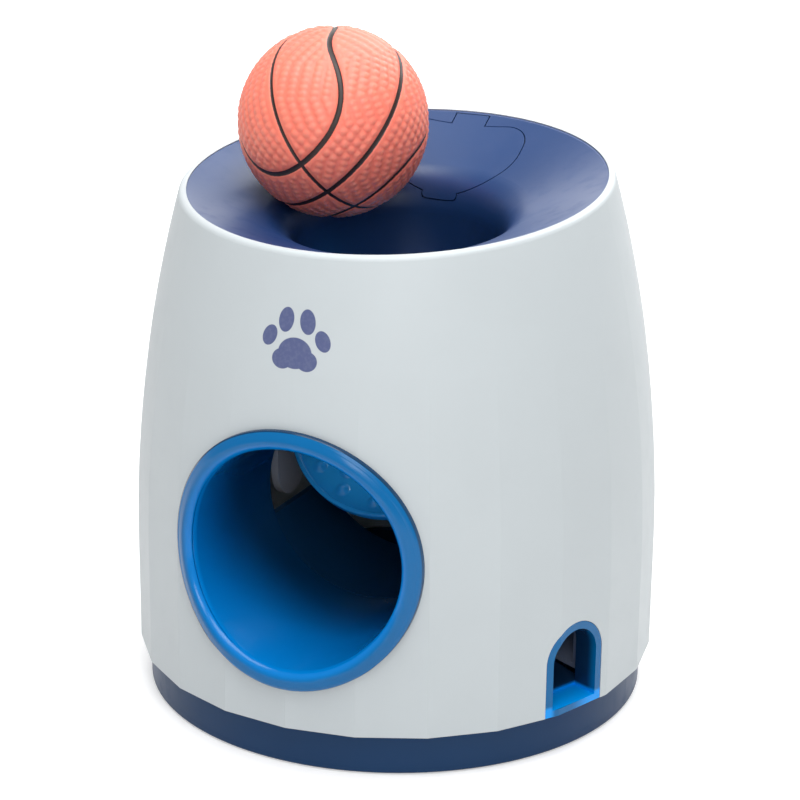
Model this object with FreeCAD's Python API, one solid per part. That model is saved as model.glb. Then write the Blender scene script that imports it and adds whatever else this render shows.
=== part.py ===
import FreeCAD, Part
import math
import os

from FreeCAD import Vector

# Ball puzzle feeder for a dog, in millimetres.
# Z is up, the exit tunnel points to -Y, the treat hatch is at +Y.
# The origin is on the floor, on the axis of the round body.
# Azimuths are in degrees, from -Y (0) towards +X (90).

# Shared by all pieces
PART_GAP = 0.3
CUT_OVER = 1.0

# Body shell
FACETS = 24
BODY_R = 85.6
BODY_Z0 = 14.0
BELLY_TOP_Z = 50.0
FACET_END_Z = 128.0
FACET_CROWN = 0.03
FACET_STEPS = 7
RIM_R = 69.0
RIM_Z = 170.3
RIM_SLOPE = 6.8
BELLY_WALL = 2.8
RIM_WALL = 2.1
FLANGE_SEAT_W = 4.2
FLANGE_T = 2.4
LIP_OUTER_ROUND = 1.8

# Base and feet
BASE_RIB_COUNT = 8
BASE_RIB_H = 5.0
BASE_HUB_R = 16.0
BASE_IN = 3.3
BASE_WALL = 2.6
BASE_FLOOR_T = 3.0
FOOT_R = 7.0
FOOT_PROUD = 0.4
FOOT_SINK = 1.6
FOOT_EDGE_IN = 8.5
FOOT_COUNT = 4
LOCATOR_WALL = 2.2
LOCATOR_RISE = 4.0
LOCATOR_NOTCH_GAP = 0.5
BASE_RIB_T = 1.8
BASE_EDGE_ROUND = 0.8
FOOT_ROUND = 0.6
FOOT_FIT = 0.1
SOCKET_WALL = 2.0
SOCKET_FIT = 0.15
BASE_SCREW_IN = 9.0
BASE_SCREW_AZ = (40.0, 140.0, 220.0, 320.0)
SHELL_BOSS_R = 4.6
SHELL_BOSS_TOP_Z = 29.0
SHELL_WEB_T = 2.4
SHELL_BOSS_CAP = 2.0

# Screws, all with pan heads
SCREW_R = 1.5
SCREW_HEAD_R = 2.9
SCREW_HEAD_T = 2.2
BORE_GAP = 0.08
SCREW_BITE = 12.0
SCREW_HEAD_ROUND = 0.7
SCREW_CROSS_L = 3.0
SCREW_CROSS_W = 0.6
SCREW_CROSS_DEPTH = 0.9
SCREW_TIP_GAP = 2.0
SCREW_SINK = 0.8

# Funnel top with its drop throat
CONE_SLOPE = 22.4
CONE_R = 66.8
FUNNEL_SKIN = 2.2
FUNNEL_SINK = 0.3
THROAT_R = 33.0
THROAT_ROLL_R = 15.35
THROAT_END_Z = 129.5
SKIRT_DROP = 11.0
SKIRT_WALL = 1.8
FUNNEL_FIT = 0.12
FUNNEL_BOSS_R = 4.2
FUNNEL_BOSS_PITCH_R = 58.0
FUNNEL_BOSS_AZ = (0.0, 120.0, 240.0)
FUNNEL_BOSS_Z = 140.0
LUG_T = 4.0
LUG_HALF_W = 6.0
LUG_INNER_R = 53.0
LUG_RIB_T = 2.4
LUG_RIB_GAP = 2.0

# Treat hatch in the back of the funnel
LID_FRONT_Y = 33.45
LID_FRONT_R = 31.5
LID_CUT_DEG = 45.0
LID_CUT_REACH = 30.0
LID_BACK_Y = 58.0
LID_HALF_W = 23.3
LID_CORNER_R = 16.1
LID_BACK_ROUND = 9.5
LID_TAB_HALF_W = 6.0
LID_TAB_L = 1.5
LID_TAB_ROUND = 1.2
LID_GAP = 0.35
LID_SKIN = 1.9
HINGE_Y = 62.0
KNUCKLE_R = 1.7
HINGE_SINK = 2.2
TONGUE_R = 2.8
TONGUE_GAP = 0.2
KNUCKLE_HALF_W = 5.8
HINGE_PIN_R = 0.75
HINGE_LUG_W = 3.0
HINGE_GAP = 0.4
HINGE_PLAY = 0.06
LID_STEP = 1.5
LID_SEAT_GAP = 0.3
LEDGE_T = 1.6
LEDGE_HALF_W = 17.0
LEDGE_BACK_Y = 37.9
LEDGE_CLEARANCE = 0.2

# Exit tunnel
TUNNEL_Z = 68.6
TUNNEL_R = 35.0
TUNNEL_WALL = 2.0
TUNNEL_INNER_Y = -24.0
BEAD_R = 41.3
BEAD_PROUD = 2.3
BEAD_OUTER_ROUND = 1.9
BEAD_INNER_ROUND = 3.2
BEAD_SEAT_GAP = 0.05
TUNNEL_HOLE_GAP = 0.3
TUNNEL_RING_R = 42.0
TUNNEL_RING_T = 2.4
TUNNEL_RING_FIT = 0.1

# Treat outlet
OUTLET_AZ = 64.8
OUTLET_W = 24.0
OUTLET_TOP_Z = 43.6
OUTLET_FRAME = 2.5
OUTLET_GAP = 0.15
OUTLET_HOOD_L = 9.9
OUTLET_FLUSH = 0.1
PAN_L = 28.0
PAN_WALL = 1.8
PAN_FRONT_Z = 17.8
PAN_BACK_Z = 22.5
PAN_BACK_RISE = 12.0
OUTLET_SILL_Z = 16.2
OUTLET_FOOT_GAP = 0.05
OUTLET_ROOT = 0.5

# Spiral treat chute
CHUTE_W = 22.0
CHUTE_ROOM = 8.2
CHUTE_WALL = 1.6
CHUTE_WALL_RISE = 13.0
CHUTE_START_AZ = 196.0
CHUTE_OVERLAP_AZ = 6.5
CHUTE_START_Z = 62.0
CHUTE_SLOPE = 16.7
CHUTE_STEPS = 14
CHUTE_POST_R = 3.5
CHUTE_POST_AZ = (104.0, 150.0)

# Ball, as a soft vinyl squeaker ball
BALL_R = 30.7
BALL_X = -23.2
BALL_Y = -0.4
BALL_SEAT_GAP = 0.3

# Trigger paddle, stated as it hangs upright, then leaned forward by its rest lean
PADDLE_Y = 0.0
PADDLE_Z = 90.0
PADDLE_LEAN = 40.0
PADDLE_R = 37.0
PADDLE_DISH = 5.0
PADDLE_SKIN = 1.8
PADDLE_LIP_W = 1.6
PADDLE_LIP_T = 2.6
PADDLE_LIP_ROUND = 0.5
PADDLE_BUMP_R = 3.4
PADDLE_BUMP_RISE = 1.5
PADDLE_BUMP_PITCH = 12.5
AXLE_BACK = 9.3
AXLE_UP = 49.6
AXLE_R = 2.0
SLEEVE_R = 3.8
SLEEVE_LEFT_X = -24.5
SLEEVE_RIGHT_X = 17.5
NECK_HALF_W = 14.0
NECK_T = 2.4
NECK_RIB_T = 2.0
NECK_ROOT = 0.8
RIB_FOOT = 0.33
RIB_DEPTH = 5.0
RIB_TURN = math.radians(50.0)
BUMP_EDGE_GAP = 3.5
PADDLE_SWING = 36.0

# Side guards that carry the axle
GUARD_X = 38.5
GUARD_T = 2.5
GUARD_HALF_W = 11.0
GUARD_LOW_Z = 56.0
GUARD_TOP_Z = 147.0
GUARD_ROUND = 5.0
BUSH_R = 4.0
BUSH_FLANGE_R = 6.0
BUSH_FLANGE_T = 1.2
CLIP_R = 4.0
CLIP_T = 0.8
PAD_HALF_W = 9.0
PAD_LOW_Z = 131.0
PAD_SKIN = 1.5
GUARD_SCREWS = ((-5.0, 138.0), (5.0, 141.0))
GUARD_ROUND_SMALL = 3.0
GUARD_BOSS_RISE = 1.5
GUARD_BOSS_WALL = 2.2
GUARD_SPINE_T = 2.0
GUARD_NECK_DROP = 22.0
GUARD_SCREW_BITE = 3.2
BUSH_FIT = 0.05
AXLE_PLAY = 0.06
AXLE_GRIP = 0.05
AXLE_CHAMFER = 0.4
CLIP_SLOT_W = 2.2
CLIP_GAP = 0.3

# Counterweights and their stops
ARM_REACH = 18.5
ARM_RISE_DEG = 15.0
ARM_HUB_R = 5.5
ARM_CUP_R = 9.0
ARM_X0 = 25.5
ARM_X1 = 36.5
SLUG_R = 7.0
PEG_R = 2.0
BUMPER_R = 3.0
STOP_GAP = 0.3
PEG_X = 30.0
PEG_RIM = 6.0
REST_PEG_ALONG = 9.5
END_PEG_ALONG = 12.5
BUMPER_FIT = 0.05
SLUG_CHAMFER = 0.6

# Gear pair between the paddle and the dosing drum
GEAR_MODULE = 1.0
SECTOR_TEETH = 50
PINION_TEETH = 12
PRESSURE_DEG = 25.0
TOOTH_ADDENDUM = 0.8
TOOTH_DEDENDUM = 1.05
TOOTH_BACKLASH = 0.16
GEAR_LINE_DEG = -56.8
GEAR_X0 = 18.6
GEAR_X1 = 23.6
SECTOR_LOW_DEG = 255.0
SECTOR_HIGH_DEG = 316.0
SECTOR_HUB_R = 6.0
SECTOR_RIM_T = 3.5
SECTOR_HUB_RIM = 2.5
SECTOR_SPOKE_DEG = 12.0
FLANK_STEPS = 4
WEDGE_STEP_DEG = 20.0

# Dosing drum, its housing and the hopper
DRUM_R = 15.0
DRUM_HALF_L = 13.8
DRUM_POCKET_R = 9.5
DRUM_POCKET_OFFSET = 12.0
DRUM_POCKET_ROUND = 2.0
DRUM_CHEEK_T = 2.0
DRUM_CORE_R = 3.6
DRUM_CORE_PITCH_R = 9.2
DRUM_CORE_DEG = (215.0, 270.0, 325.0)
DRUM_AXLE_PROUD = 1.0
DRUM_AXLE_R = 2.0
DRUM_GAP = 0.4
HOUSING_WALL = 1.8
HOUSING_HALF_L = 16.4
INLET_HALF_X = 12.0
INLET_HALF_Y = 9.5
DROP_LOW_DEG = -125.0
DROP_HIGH_DEG = -35.0
HOPPER_WALL = 1.8
HOPPER_NECK_Z = 128.0
HOPPER_MOUTH_Z = 149.0
HOPPER_MOUTH_INSET = 2.6
HOPPER_MOUTH_ROUND = 6.0
HOPPER_NECK_ROUND = 3.0
HOPPER_FLANGE_W = 5.0
HOPPER_FLANGE_T = 2.0
HOPPER_SEAT_GAP = 0.25
HOPPER_EAR_X = 29.0
HOPPER_EAR_Y = 46.0
HOPPER_EAR_Z = 158.0
HOPPER_EAR_T = 2.5
HOPPER_EAR_R = 4.6
HOPPER_BOSS_R = 3.4
HOPPER_BITE = 7.0
COVER_T = 1.8
COVER_SCREW_R = 1.1
COVER_SCREW_HEAD_R = 2.0
COVER_SCREW_HEAD_T = 1.3
COVER_SCREW_BITE = 4.0
COVER_SCREW_DEG = (-130.0, -50.0, 40.0)
COVER_BOSS_WALL = 1.5
COVER_BOSS_L = 7.0

# Ball ramp under the throat
RAMP_R = 36.0
RAMP_T = 2.0
RAMP_SLOPE = 6.0
RAMP_FRONT_Y = -23.6
RAMP_BACK_Y = 12.0
RAMP_STEP = 0.4
RAMP_SIDE_Z = 57.0
RAMP_LEG_T = 2.4
RAMP_LEG_HALF_W = 27.0
RAMP_TAB_W = 11.0
RAMP_TAB_T = 3.0
RAMP_SEAT_Z = 9.0
RAMP_POST_R = 4.5
RAMP_SCREWS = ((-31.0, -14.0), (31.0, -14.0), (-31.0, 6.0), (31.0, 6.0))

UP = Vector(0, 0, 1)
AXIS_X = Vector(1, 0, 0)
ORIGIN = Vector(0, 0, 0)
TALL = 400.0
FLANGE_BORE_R = BODY_R - BELLY_WALL - FLANGE_SEAT_W
BASE_R = BODY_R - BASE_IN
FOOT_PITCH_R = BASE_R - FOOT_EDGE_IN - FOOT_R
BASE_SCREW_PITCH_R = FLANGE_BORE_R - BASE_SCREW_IN
OUTLET_FACE_R = BODY_R - OUTLET_FLUSH
OUTLET_HOOD_R = OUTLET_FACE_R - OUTLET_HOOD_L
PAN_BACK_R = OUTLET_HOOD_R - PAN_L
CHUTE_OUT_R = BODY_R - BELLY_WALL - CHUTE_ROOM
CHUTE_IN_R = CHUTE_OUT_R - CHUTE_W
CEILING_Z = RIM_Z + (BODY_R + RIM_R) / 10

BASE_Z0 = FOOT_PROUD
FLOOR_Z = BASE_Z0 + BASE_FLOOR_T
AXLE_Y = (PADDLE_Y + AXLE_UP * math.sin(math.radians(PADDLE_LEAN))
          + AXLE_BACK * math.cos(math.radians(PADDLE_LEAN)))
AXLE_Z = (PADDLE_Z + AXLE_UP * math.cos(math.radians(PADDLE_LEAN))
          - AXLE_BACK * math.sin(math.radians(PADDLE_LEAN)))
GEAR_SPACING = GEAR_MODULE * (SECTOR_TEETH + PINION_TEETH) / 2
DRUM_Y = AXLE_Y + GEAR_SPACING * math.cos(math.radians(GEAR_LINE_DEG))
DRUM_Z = AXLE_Z + GEAR_SPACING * math.sin(math.radians(GEAR_LINE_DEG))
CLIP_X = GUARD_X + GUARD_T + GUARD_BOSS_RISE + CLIP_GAP
BASE_SCREW_HEAD_Z = BASE_Z0 + SCREW_HEAD_T + SCREW_SINK
CHUTE_MIDDLE_R = (CHUTE_IN_R + CHUTE_OUT_R) / 2
HOUSING_IN_R = DRUM_R + DRUM_GAP
HOUSING_R = HOUSING_IN_R + HOUSING_WALL

# The rim plane and everything in the funnel lean forward by the rim slope.
# The funnel's axis meets the body's axis where the throat becomes upright.
SLOPE = math.radians(RIM_SLOPE)
ROLL_TURN = math.radians(CONE_SLOPE)
ROLL_TOP_R = THROAT_R + THROAT_ROLL_R * (1 - math.sin(ROLL_TURN))
ROLL_TOP_DEPTH = FUNNEL_SINK + (CONE_R - ROLL_TOP_R) * math.tan(ROLL_TURN)
ROLL_CENTRE_DEPTH = ROLL_TOP_DEPTH + THROAT_ROLL_R * math.cos(ROLL_TURN)
RIM_SHIFT = ROLL_CENTRE_DEPTH * math.sin(SLOPE)
RIM_CENTRE = Vector(0, -RIM_SHIFT, RIM_Z - RIM_SHIFT * math.tan(SLOPE))


def cyl_z(radius, z0, z1, x=0.0, y=0.0):
    """Upright cylinder from z0 to z1."""
    return Part.makeCylinder(radius, z1 - z0, Vector(x, y, z0), UP)


def cyl_x(radius, x0, x1, y=0.0, z=0.0):
    """Cylinder along X from x0 to x1."""
    return Part.makeCylinder(radius, x1 - x0, Vector(x0, y, z), AXIS_X)


def cyl_y(radius, y0, y1, x=0.0, z=0.0):
    """Cylinder along Y from y0 to y1."""
    return Part.makeCylinder(radius, y1 - y0, Vector(x, y0, z), Vector(0, 1, 0))


def block(x0, x1, y0, y1, z0, z1):
    """Box between two corners."""
    return Part.makeBox(x1 - x0, y1 - y0, z1 - z0, Vector(x0, y0, z0))


def polar(radius, azimuth, z=0.0):
    """Point at an azimuth, measured from -Y towards +X."""
    a = math.radians(azimuth)
    return Vector(radius * math.sin(a), -radius * math.cos(a), z)


def prism(points, direction):
    """Straight prism over a closed polygon of points."""
    wire = Part.makePolygon(points + [points[0]])
    return Part.Face(wire).extrude(direction)


def revolve_rz(edges):
    """Solid of revolution about Z of a closed outline in the XZ half plane."""
    return Part.Face(Part.Wire(edges)).revolve(ORIGIN, UP, 360)


def line(a, b):
    """Straight edge."""
    return Part.makeLine(a, b)


def arc(a, b, c):
    """Arc edge through three points."""
    return Part.Arc(a, b, c).toShape()


def rz(radius, z):
    """Point of a turned outline."""
    return Vector(radius, 0, z)


def fuse(shapes):
    """One clean solid from several that meet."""
    whole = shapes[0]
    for shape in shapes[1:]:
        whole = whole.fuse(shape)
    return whole.removeSplitter()


def turned(shape, azimuth):
    """Copy turned about Z from the front to an azimuth."""
    copy = shape.copy()
    copy.rotate(ORIGIN, UP, azimuth)
    return copy


def sagged_radius(z, belly_r, rim_r):
    """Upright belly, then one arc that leans in to the rim radius."""
    if z <= BELLY_TOP_Z:
        return belly_r
    drop = belly_r - rim_r
    rise = RIM_Z - BELLY_TOP_Z
    bend = (rise ** 2 + drop ** 2) / (2 * drop)
    return belly_r - bend + math.sqrt(bend ** 2 - (z - BELLY_TOP_Z) ** 2)


def body_radius(z):
    """Radius of the round body that the shell's facets stand in."""
    return sagged_radius(z, BODY_R, RIM_R)


def inner_radius(z):
    """Radius of the shell's inner wall at a height."""
    return sagged_radius(z, BODY_R - BELLY_WALL, RIM_R - RIM_WALL)


def turned_body(offset, inner, z0, z1):
    """Round solid inside the shell's outer or inner profile, grown by an offset."""
    radius = inner_radius if inner else body_radius
    middle = (BELLY_TOP_Z + z1) / 2
    edges = [
        line(rz(0, z0), rz(radius(BELLY_TOP_Z) + offset, z0)),
        line(rz(radius(BELLY_TOP_Z) + offset, z0), rz(radius(BELLY_TOP_Z) + offset, BELLY_TOP_Z)),
        arc(rz(radius(BELLY_TOP_Z) + offset, BELLY_TOP_Z), rz(radius(middle) + offset, middle),
            rz(radius(z1) + offset, z1)),
        line(rz(radius(z1) + offset, z1), rz(0, z1)),
        line(rz(0, z1), rz(0, z0)),
    ]
    return revolve_rz(edges)


def facet_wire(z, grow=0.0):
    """Section of the shell: one arc per facet, flat below and round above."""
    radius = body_radius(z) + grow
    flat = math.cos(math.pi / FACETS)
    share = (z - BELLY_TOP_Z) / (FACET_END_Z - BELLY_TOP_Z)
    share = min(max(share, 0.0), 1.0)
    crown = FACET_CROWN + (1 - FACET_CROWN) * share
    middle = radius * (flat + (1 - flat) * crown)
    pitch = 360.0 / FACETS
    edges = []
    for k in range(FACETS):
        edges.append(arc(polar(radius, k * pitch, z), polar(middle, (k + 0.5) * pitch, z),
                         polar(radius, (k + 1) * pitch, z)))
    return Part.Wire(edges)


def above_rim(drop=0.0):
    """Large block above the rim plane, lowered square to it by a drop."""
    slab = Part.makeBox(TALL, TALL, TALL, Vector(-TALL / 2, -TALL / 2, -drop))
    slab.rotate(ORIGIN, AXIS_X, RIM_SLOPE)
    slab.translate(RIM_CENTRE)
    return slab


def shell_boss(azimuth):
    """Screw column inside the shell's foot, with a web to the wall."""
    column = cyl_z(SHELL_BOSS_R, BODY_Z0, SHELL_BOSS_TOP_Z, 0, -BASE_SCREW_PITCH_R)
    web = block(-SHELL_WEB_T / 2, SHELL_WEB_T / 2, -inner_radius(BELLY_TOP_Z) - BELLY_WALL / 4,
                -BASE_SCREW_PITCH_R, BODY_Z0 + LOCATOR_RISE + PART_GAP, SHELL_BOSS_TOP_Z)
    bore = cyl_z(SCREW_R + BORE_GAP, BODY_Z0 - CUT_OVER, SHELL_BOSS_TOP_Z - SHELL_BOSS_CAP, 0,
                 -BASE_SCREW_PITCH_R)
    return turned(column.fuse(web), azimuth), turned(bore, azimuth)


def shell_lug(azimuth):
    """Shelf on the shell's wall that the funnel is screwed down to."""
    reach = inner_radius(FUNNEL_BOSS_Z) + RIM_WALL / 2
    low = FUNNEL_BOSS_Z - LUG_T
    shelf = block(-LUG_HALF_W, LUG_HALF_W, -reach, -LUG_INNER_R, low, FUNNEL_BOSS_Z)
    gusset_low = low - (reach - LUG_INNER_R - LUG_HALF_W)
    gusset_y = -FUNNEL_BOSS_PITCH_R - SCREW_HEAD_R - LUG_RIB_GAP
    gusset = prism([Vector(-LUG_RIB_T / 2, -reach, gusset_low), Vector(-LUG_RIB_T / 2, -reach, low),
                    Vector(-LUG_RIB_T / 2, gusset_y, low)], Vector(LUG_RIB_T, 0, 0))
    hole = cyl_z(SCREW_R + BORE_GAP, low - CUT_OVER, FUNNEL_BOSS_Z + CUT_OVER, 0, -FUNNEL_BOSS_PITCH_R)
    keep = turned_body(RIM_WALL / 4, True, BODY_Z0, CEILING_Z)
    return turned(shelf.fuse(gusset).common(keep), azimuth), turned(hole, azimuth)


def outlet_outline(grow, y0, y1):
    """Prism of the outlet's arched outline, along the radial direction."""
    half = OUTLET_W / 2 + grow
    spring_z = OUTLET_TOP_Z - OUTLET_W / 2
    low = BODY_Z0 - CUT_OVER
    edges = [
        line(Vector(-half, y0, low), Vector(half, y0, low)),
        line(Vector(half, y0, low), Vector(half, y0, spring_z)),
        arc(Vector(half, y0, spring_z), Vector(0, y0, spring_z + half), Vector(-half, y0, spring_z)),
        line(Vector(-half, y0, spring_z), Vector(-half, y0, low)),
    ]
    return Part.Face(Part.Wire(edges)).extrude(Vector(0, y1 - y0, 0))


def make_outer_shell():
    """Faceted outer body with its slanted lip, inner flange, lugs and openings."""
    belly = Part.makeLoft([facet_wire(BODY_Z0), facet_wire(BELLY_TOP_Z)], True, True)
    heights = [BELLY_TOP_Z + (FACET_END_Z - BELLY_TOP_Z) * k / FACET_STEPS for k in range(FACET_STEPS + 1)]
    taper = Part.makeLoft([facet_wire(z) for z in heights], True, False)
    top_z = CEILING_Z
    middle = (FACET_END_Z + top_z) / 2
    crown = revolve_rz([
        line(rz(0, FACET_END_Z), rz(body_radius(FACET_END_Z), FACET_END_Z)),
        arc(rz(body_radius(FACET_END_Z), FACET_END_Z), rz(body_radius(middle), middle),
            rz(body_radius(top_z), top_z)),
        line(rz(body_radius(top_z), top_z), rz(0, top_z)),
        line(rz(0, top_z), rz(0, FACET_END_Z)),
    ])
    crown = crown.cut(turned_body(0, True, BODY_Z0, top_z)).cut(above_rim())
    crown = round_lip(crown)
    flange_z = BODY_Z0 + FLANGE_T
    hollow = turned_body(0, True, flange_z, top_z).fuse(
        cyl_z(FLANGE_BORE_R, BODY_Z0 - CUT_OVER, flange_z + CUT_OVER))
    lower = belly.fuse(taper).cut(hollow)
    shell = lower.fuse(crown)
    bores = []
    for azimuth in BASE_SCREW_AZ:
        column, bore = shell_boss(azimuth)
        shell = shell.fuse(column)
        bores.append(bore)
    for azimuth in FUNNEL_BOSS_AZ:
        lug, hole = shell_lug(azimuth)
        shell = shell.fuse(lug)
        bores.append(hole)
    for bore in bores:
        shell = shell.cut(bore)
    hole_r = TUNNEL_R + TUNNEL_WALL + TUNNEL_HOLE_GAP
    shell = shell.cut(cyl_y(hole_r, -TALL / 2, -LUG_INNER_R, 0, TUNNEL_Z))
    window = outlet_outline(OUTLET_GAP, -TALL / 2, -OUTLET_HOOD_R + CUT_OVER)
    return shell.cut(turned(window, OUTLET_AZ))


def round_lip(crown):
    """Round the outer edge of the slanted lip."""
    normal = Vector(0, -math.sin(SLOPE), math.cos(SLOPE))
    rim_edges = []
    for edge in crown.Edges:
        heights = [abs((v.Point - RIM_CENTRE).dot(normal)) for v in edge.Vertexes]
        middle = edge.valueAt((edge.FirstParameter + edge.LastParameter) / 2)
        heights.append(abs((middle - RIM_CENTRE).dot(normal)))
        if max(heights) < 0.01:
            rim_edges.append(edge)
    rim_edges.sort(key=lambda e: e.Length)
    return crown.makeFillet(LIP_OUTER_ROUND, [rim_edges[-1]])


def tilted(shape):
    """Copy moved from the funnel's own frame to its leaning place."""
    copy = shape.copy()
    copy.rotate(ORIGIN, AXIS_X, RIM_SLOPE)
    copy.translate(RIM_CENTRE)
    return copy


def funnel_points(offset):
    """Outline points of the funnel's upper face, sunk square to it by an offset."""
    s, c = math.sin(ROLL_TURN), math.cos(ROLL_TURN)
    roll = THROAT_ROLL_R - offset
    centre_r = THROAT_R + THROAT_ROLL_R
    half = (ROLL_TURN + math.pi / 2) / 2
    return {
        "edge": rz(BODY_R, -FUNNEL_SINK - offset),
        "brink": rz(CONE_R + offset * math.tan(ROLL_TURN / 2), -FUNNEL_SINK - offset),
        "roll_top": rz(centre_r - roll * s, -ROLL_CENTRE_DEPTH + roll * c),
        "roll_mid": rz(centre_r - roll * math.sin(half), -ROLL_CENTRE_DEPTH + roll * math.cos(half)),
        "throat": rz(THROAT_R + offset, -ROLL_CENTRE_DEPTH),
    }


def funnel_layer(near, far, low):
    """Leaning skin between two offsets of the funnel's face, down to a depth."""
    a, b = funnel_points(near), funnel_points(far)
    a_low = rz(THROAT_R + near, -low)
    b_low = rz(THROAT_R + far, -low)
    return tilted(revolve_rz([
        line(a["edge"], a["brink"]),
        line(a["brink"], a["roll_top"]),
        arc(a["roll_top"], a["roll_mid"], a["throat"]),
        line(a["throat"], a_low),
        line(a_low, b_low),
        line(b_low, b["throat"]),
        arc(b["throat"], b["roll_mid"], b["roll_top"]),
        line(b["roll_top"], b["brink"]),
        line(b["brink"], b["edge"]),
        line(b["edge"], a["edge"]),
    ]))


def funnel_void(offset, low):
    """Leaning solid of everything over the funnel's face, sunk by an offset."""
    a = funnel_points(offset)
    roof = BODY_R
    a_low = rz(THROAT_R + offset, -low)
    return tilted(revolve_rz([
        line(rz(0, roof), rz(BODY_R, roof)),
        line(rz(BODY_R, roof), a["edge"]),
        line(a["edge"], a["brink"]),
        line(a["brink"], a["roll_top"]),
        arc(a["roll_top"], a["roll_mid"], a["throat"]),
        line(a["throat"], a_low),
        line(a_low, rz(0, -low)),
        line(rz(0, -low), rz(0, roof)),
    ]))


def face_depth(r):
    """Depth of the funnel's upper face under the rim plane, in its own frame."""
    if r >= CONE_R:
        return FUNNEL_SINK
    if r >= ROLL_TOP_R:
        return FUNNEL_SINK + (CONE_R - r) * math.tan(ROLL_TURN)
    side = THROAT_R + THROAT_ROLL_R - max(r, THROAT_R)
    return ROLL_CENTRE_DEPTH - math.sqrt(max(THROAT_ROLL_R ** 2 - side ** 2, 0.0))


def funnel_height(y):
    """Height of the funnel's upper face over a point of the middle plane."""
    low, high = RIM_Z - ROLL_CENTRE_DEPTH, RIM_Z + RIM_R
    for _ in range(50):
        z = (low + high) / 2
        dy, dz = y - RIM_CENTRE.y, z - RIM_CENTRE.z
        along = dy * math.cos(SLOPE) + dz * math.sin(SLOPE)
        up = dz * math.cos(SLOPE) - dy * math.sin(SLOPE)
        if up + face_depth(abs(along)) > 0:
            high = z
        else:
            low = z
    return (low + high) / 2


def ball_gap(z):
    """Gap between the ball, with its centre at a height, and the funnel's face."""
    dy, dz = BALL_Y - RIM_CENTRE.y, z - RIM_CENTRE.z
    along = dy * math.cos(SLOPE) + dz * math.sin(SLOPE)
    up = dz * math.cos(SLOPE) - dy * math.sin(SLOPE)
    r = math.hypot(BALL_X, along)
    side = THROAT_R + THROAT_ROLL_R - r
    over = up + ROLL_CENTRE_DEPTH
    if math.atan2(side, over) >= ROLL_TURN:
        return math.hypot(side, over) - THROAT_ROLL_R - BALL_R
    return (up + FUNNEL_SINK + (CONE_R - r) * math.tan(ROLL_TURN)) * math.cos(ROLL_TURN) - BALL_R


def ball_height():
    """Height of the ball's centre when it rests in the funnel beside the throat."""
    low, high = RIM_Z - BALL_R, RIM_Z + 2 * BALL_R
    for _ in range(50):
        z = (low + high) / 2
        if ball_gap(z) > BALL_SEAT_GAP:
            high = z
        else:
            low = z
    return (low + high) / 2


HINGE_Z = funnel_height(HINGE_Y) - HINGE_SINK
BALL_Z = ball_height()


def rounded(points, radii, place):
    """Closed wire through corner points, each rounded by its own radius."""
    edges = []
    ends = []
    count = len(points)
    for k in range(count):
        p = Vector(points[k][0], points[k][1], 0)
        a = Vector(points[k - 1][0], points[k - 1][1], 0) - p
        b = Vector(points[(k + 1) % count][0], points[(k + 1) % count][1], 0) - p
        a.normalize()
        b.normalize()
        half = a.getAngle(b) / 2
        back = radii[k] / math.tan(half)
        inward = (a + b).normalize()
        centre = p + inward * (radii[k] / math.sin(half))
        start, stop = p + a * back, p + b * back
        crest = centre - inward * radii[k]
        ends.append((start, stop))
        edges.append(arc(place(start), place(crest), place(stop)))
    for k in range(count):
        stop, start = ends[k][1], ends[(k + 1) % count][0]
        if (start - stop).Length > 0.001:
            edges.append(line(place(stop), place(start)))
    return Part.Wire(Part.__sortEdges__(edges))


def flat_place(z):
    """Placement of outline points in a level plane."""
    return lambda p: Vector(p.x, p.y, z)


def side_place(x):
    """Placement of outline points in a plane square to X."""
    return lambda p: Vector(x, p.x, p.y)


def rectangle(x0, x1, y0, y1, radius, z):
    """Level rectangle wire with rounded corners."""
    return rounded([(x0, y0), (x1, y0), (x1, y1), (x0, y1)], [radius] * 4, flat_place(z))


def lid_slant_place(lift):
    """Placement of outline points in the plane that the hatch's front is cut square to."""
    turn = math.radians(LID_CUT_DEG)
    s, c = math.sin(turn), math.cos(turn)
    y0, z0 = LID_FRONT_Y - lift * s, funnel_height(LID_FRONT_Y) + lift * c
    return lambda p: Vector(p.x, y0 + p.y * c, z0 + p.y * s)


def lid_front(grow):
    """Leaning prism over the hatch's curved front, its corners and its finger tab."""
    centre_x = LID_HALF_W - LID_CORNER_R
    drop = math.sqrt((LID_FRONT_R - LID_CORNER_R) ** 2 - centre_x ** 2)
    centre_y = LID_FRONT_R - drop
    bow, corner, half = LID_FRONT_R + grow, LID_CORNER_R + grow, LID_HALF_W + grow
    lean = math.atan2(centre_x, drop)
    mid_lean = (lean + math.pi / 2) / 2
    joint = Vector(bow * math.sin(lean), LID_FRONT_R - bow * math.cos(lean), 0)
    crest = Vector(centre_x + corner * math.sin(mid_lean), centre_y - corner * math.cos(mid_lean), 0)
    side, back = Vector(half, centre_y, 0), Vector(half, LID_BACK_Y, 0)
    place = lid_slant_place(-LID_CUT_REACH)

    def mirrored(p):
        return place(Vector(-p.x, p.y, 0))

    wire = Part.Wire([
        arc(mirrored(joint), place(Vector(0, -grow, 0)), place(joint)),
        arc(place(joint), place(crest), place(side)),
        line(place(side), place(back)),
        line(place(back), mirrored(back)),
        line(mirrored(back), mirrored(side)),
        arc(mirrored(side), mirrored(crest), mirrored(joint)),
    ])
    tab_half, tip = LID_TAB_HALF_W + grow, -LID_TAB_L - grow
    tab = rounded([(-tab_half, tip), (tab_half, tip), (tab_half, centre_y), (-tab_half, centre_y)],
                  [LID_TAB_ROUND] * 4, place)
    way = lid_slant_place(LID_CUT_REACH)(ORIGIN) - place(ORIGIN)
    return Part.Face(wire).extrude(way).fuse(Part.Face(tab).extrude(way))


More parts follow.
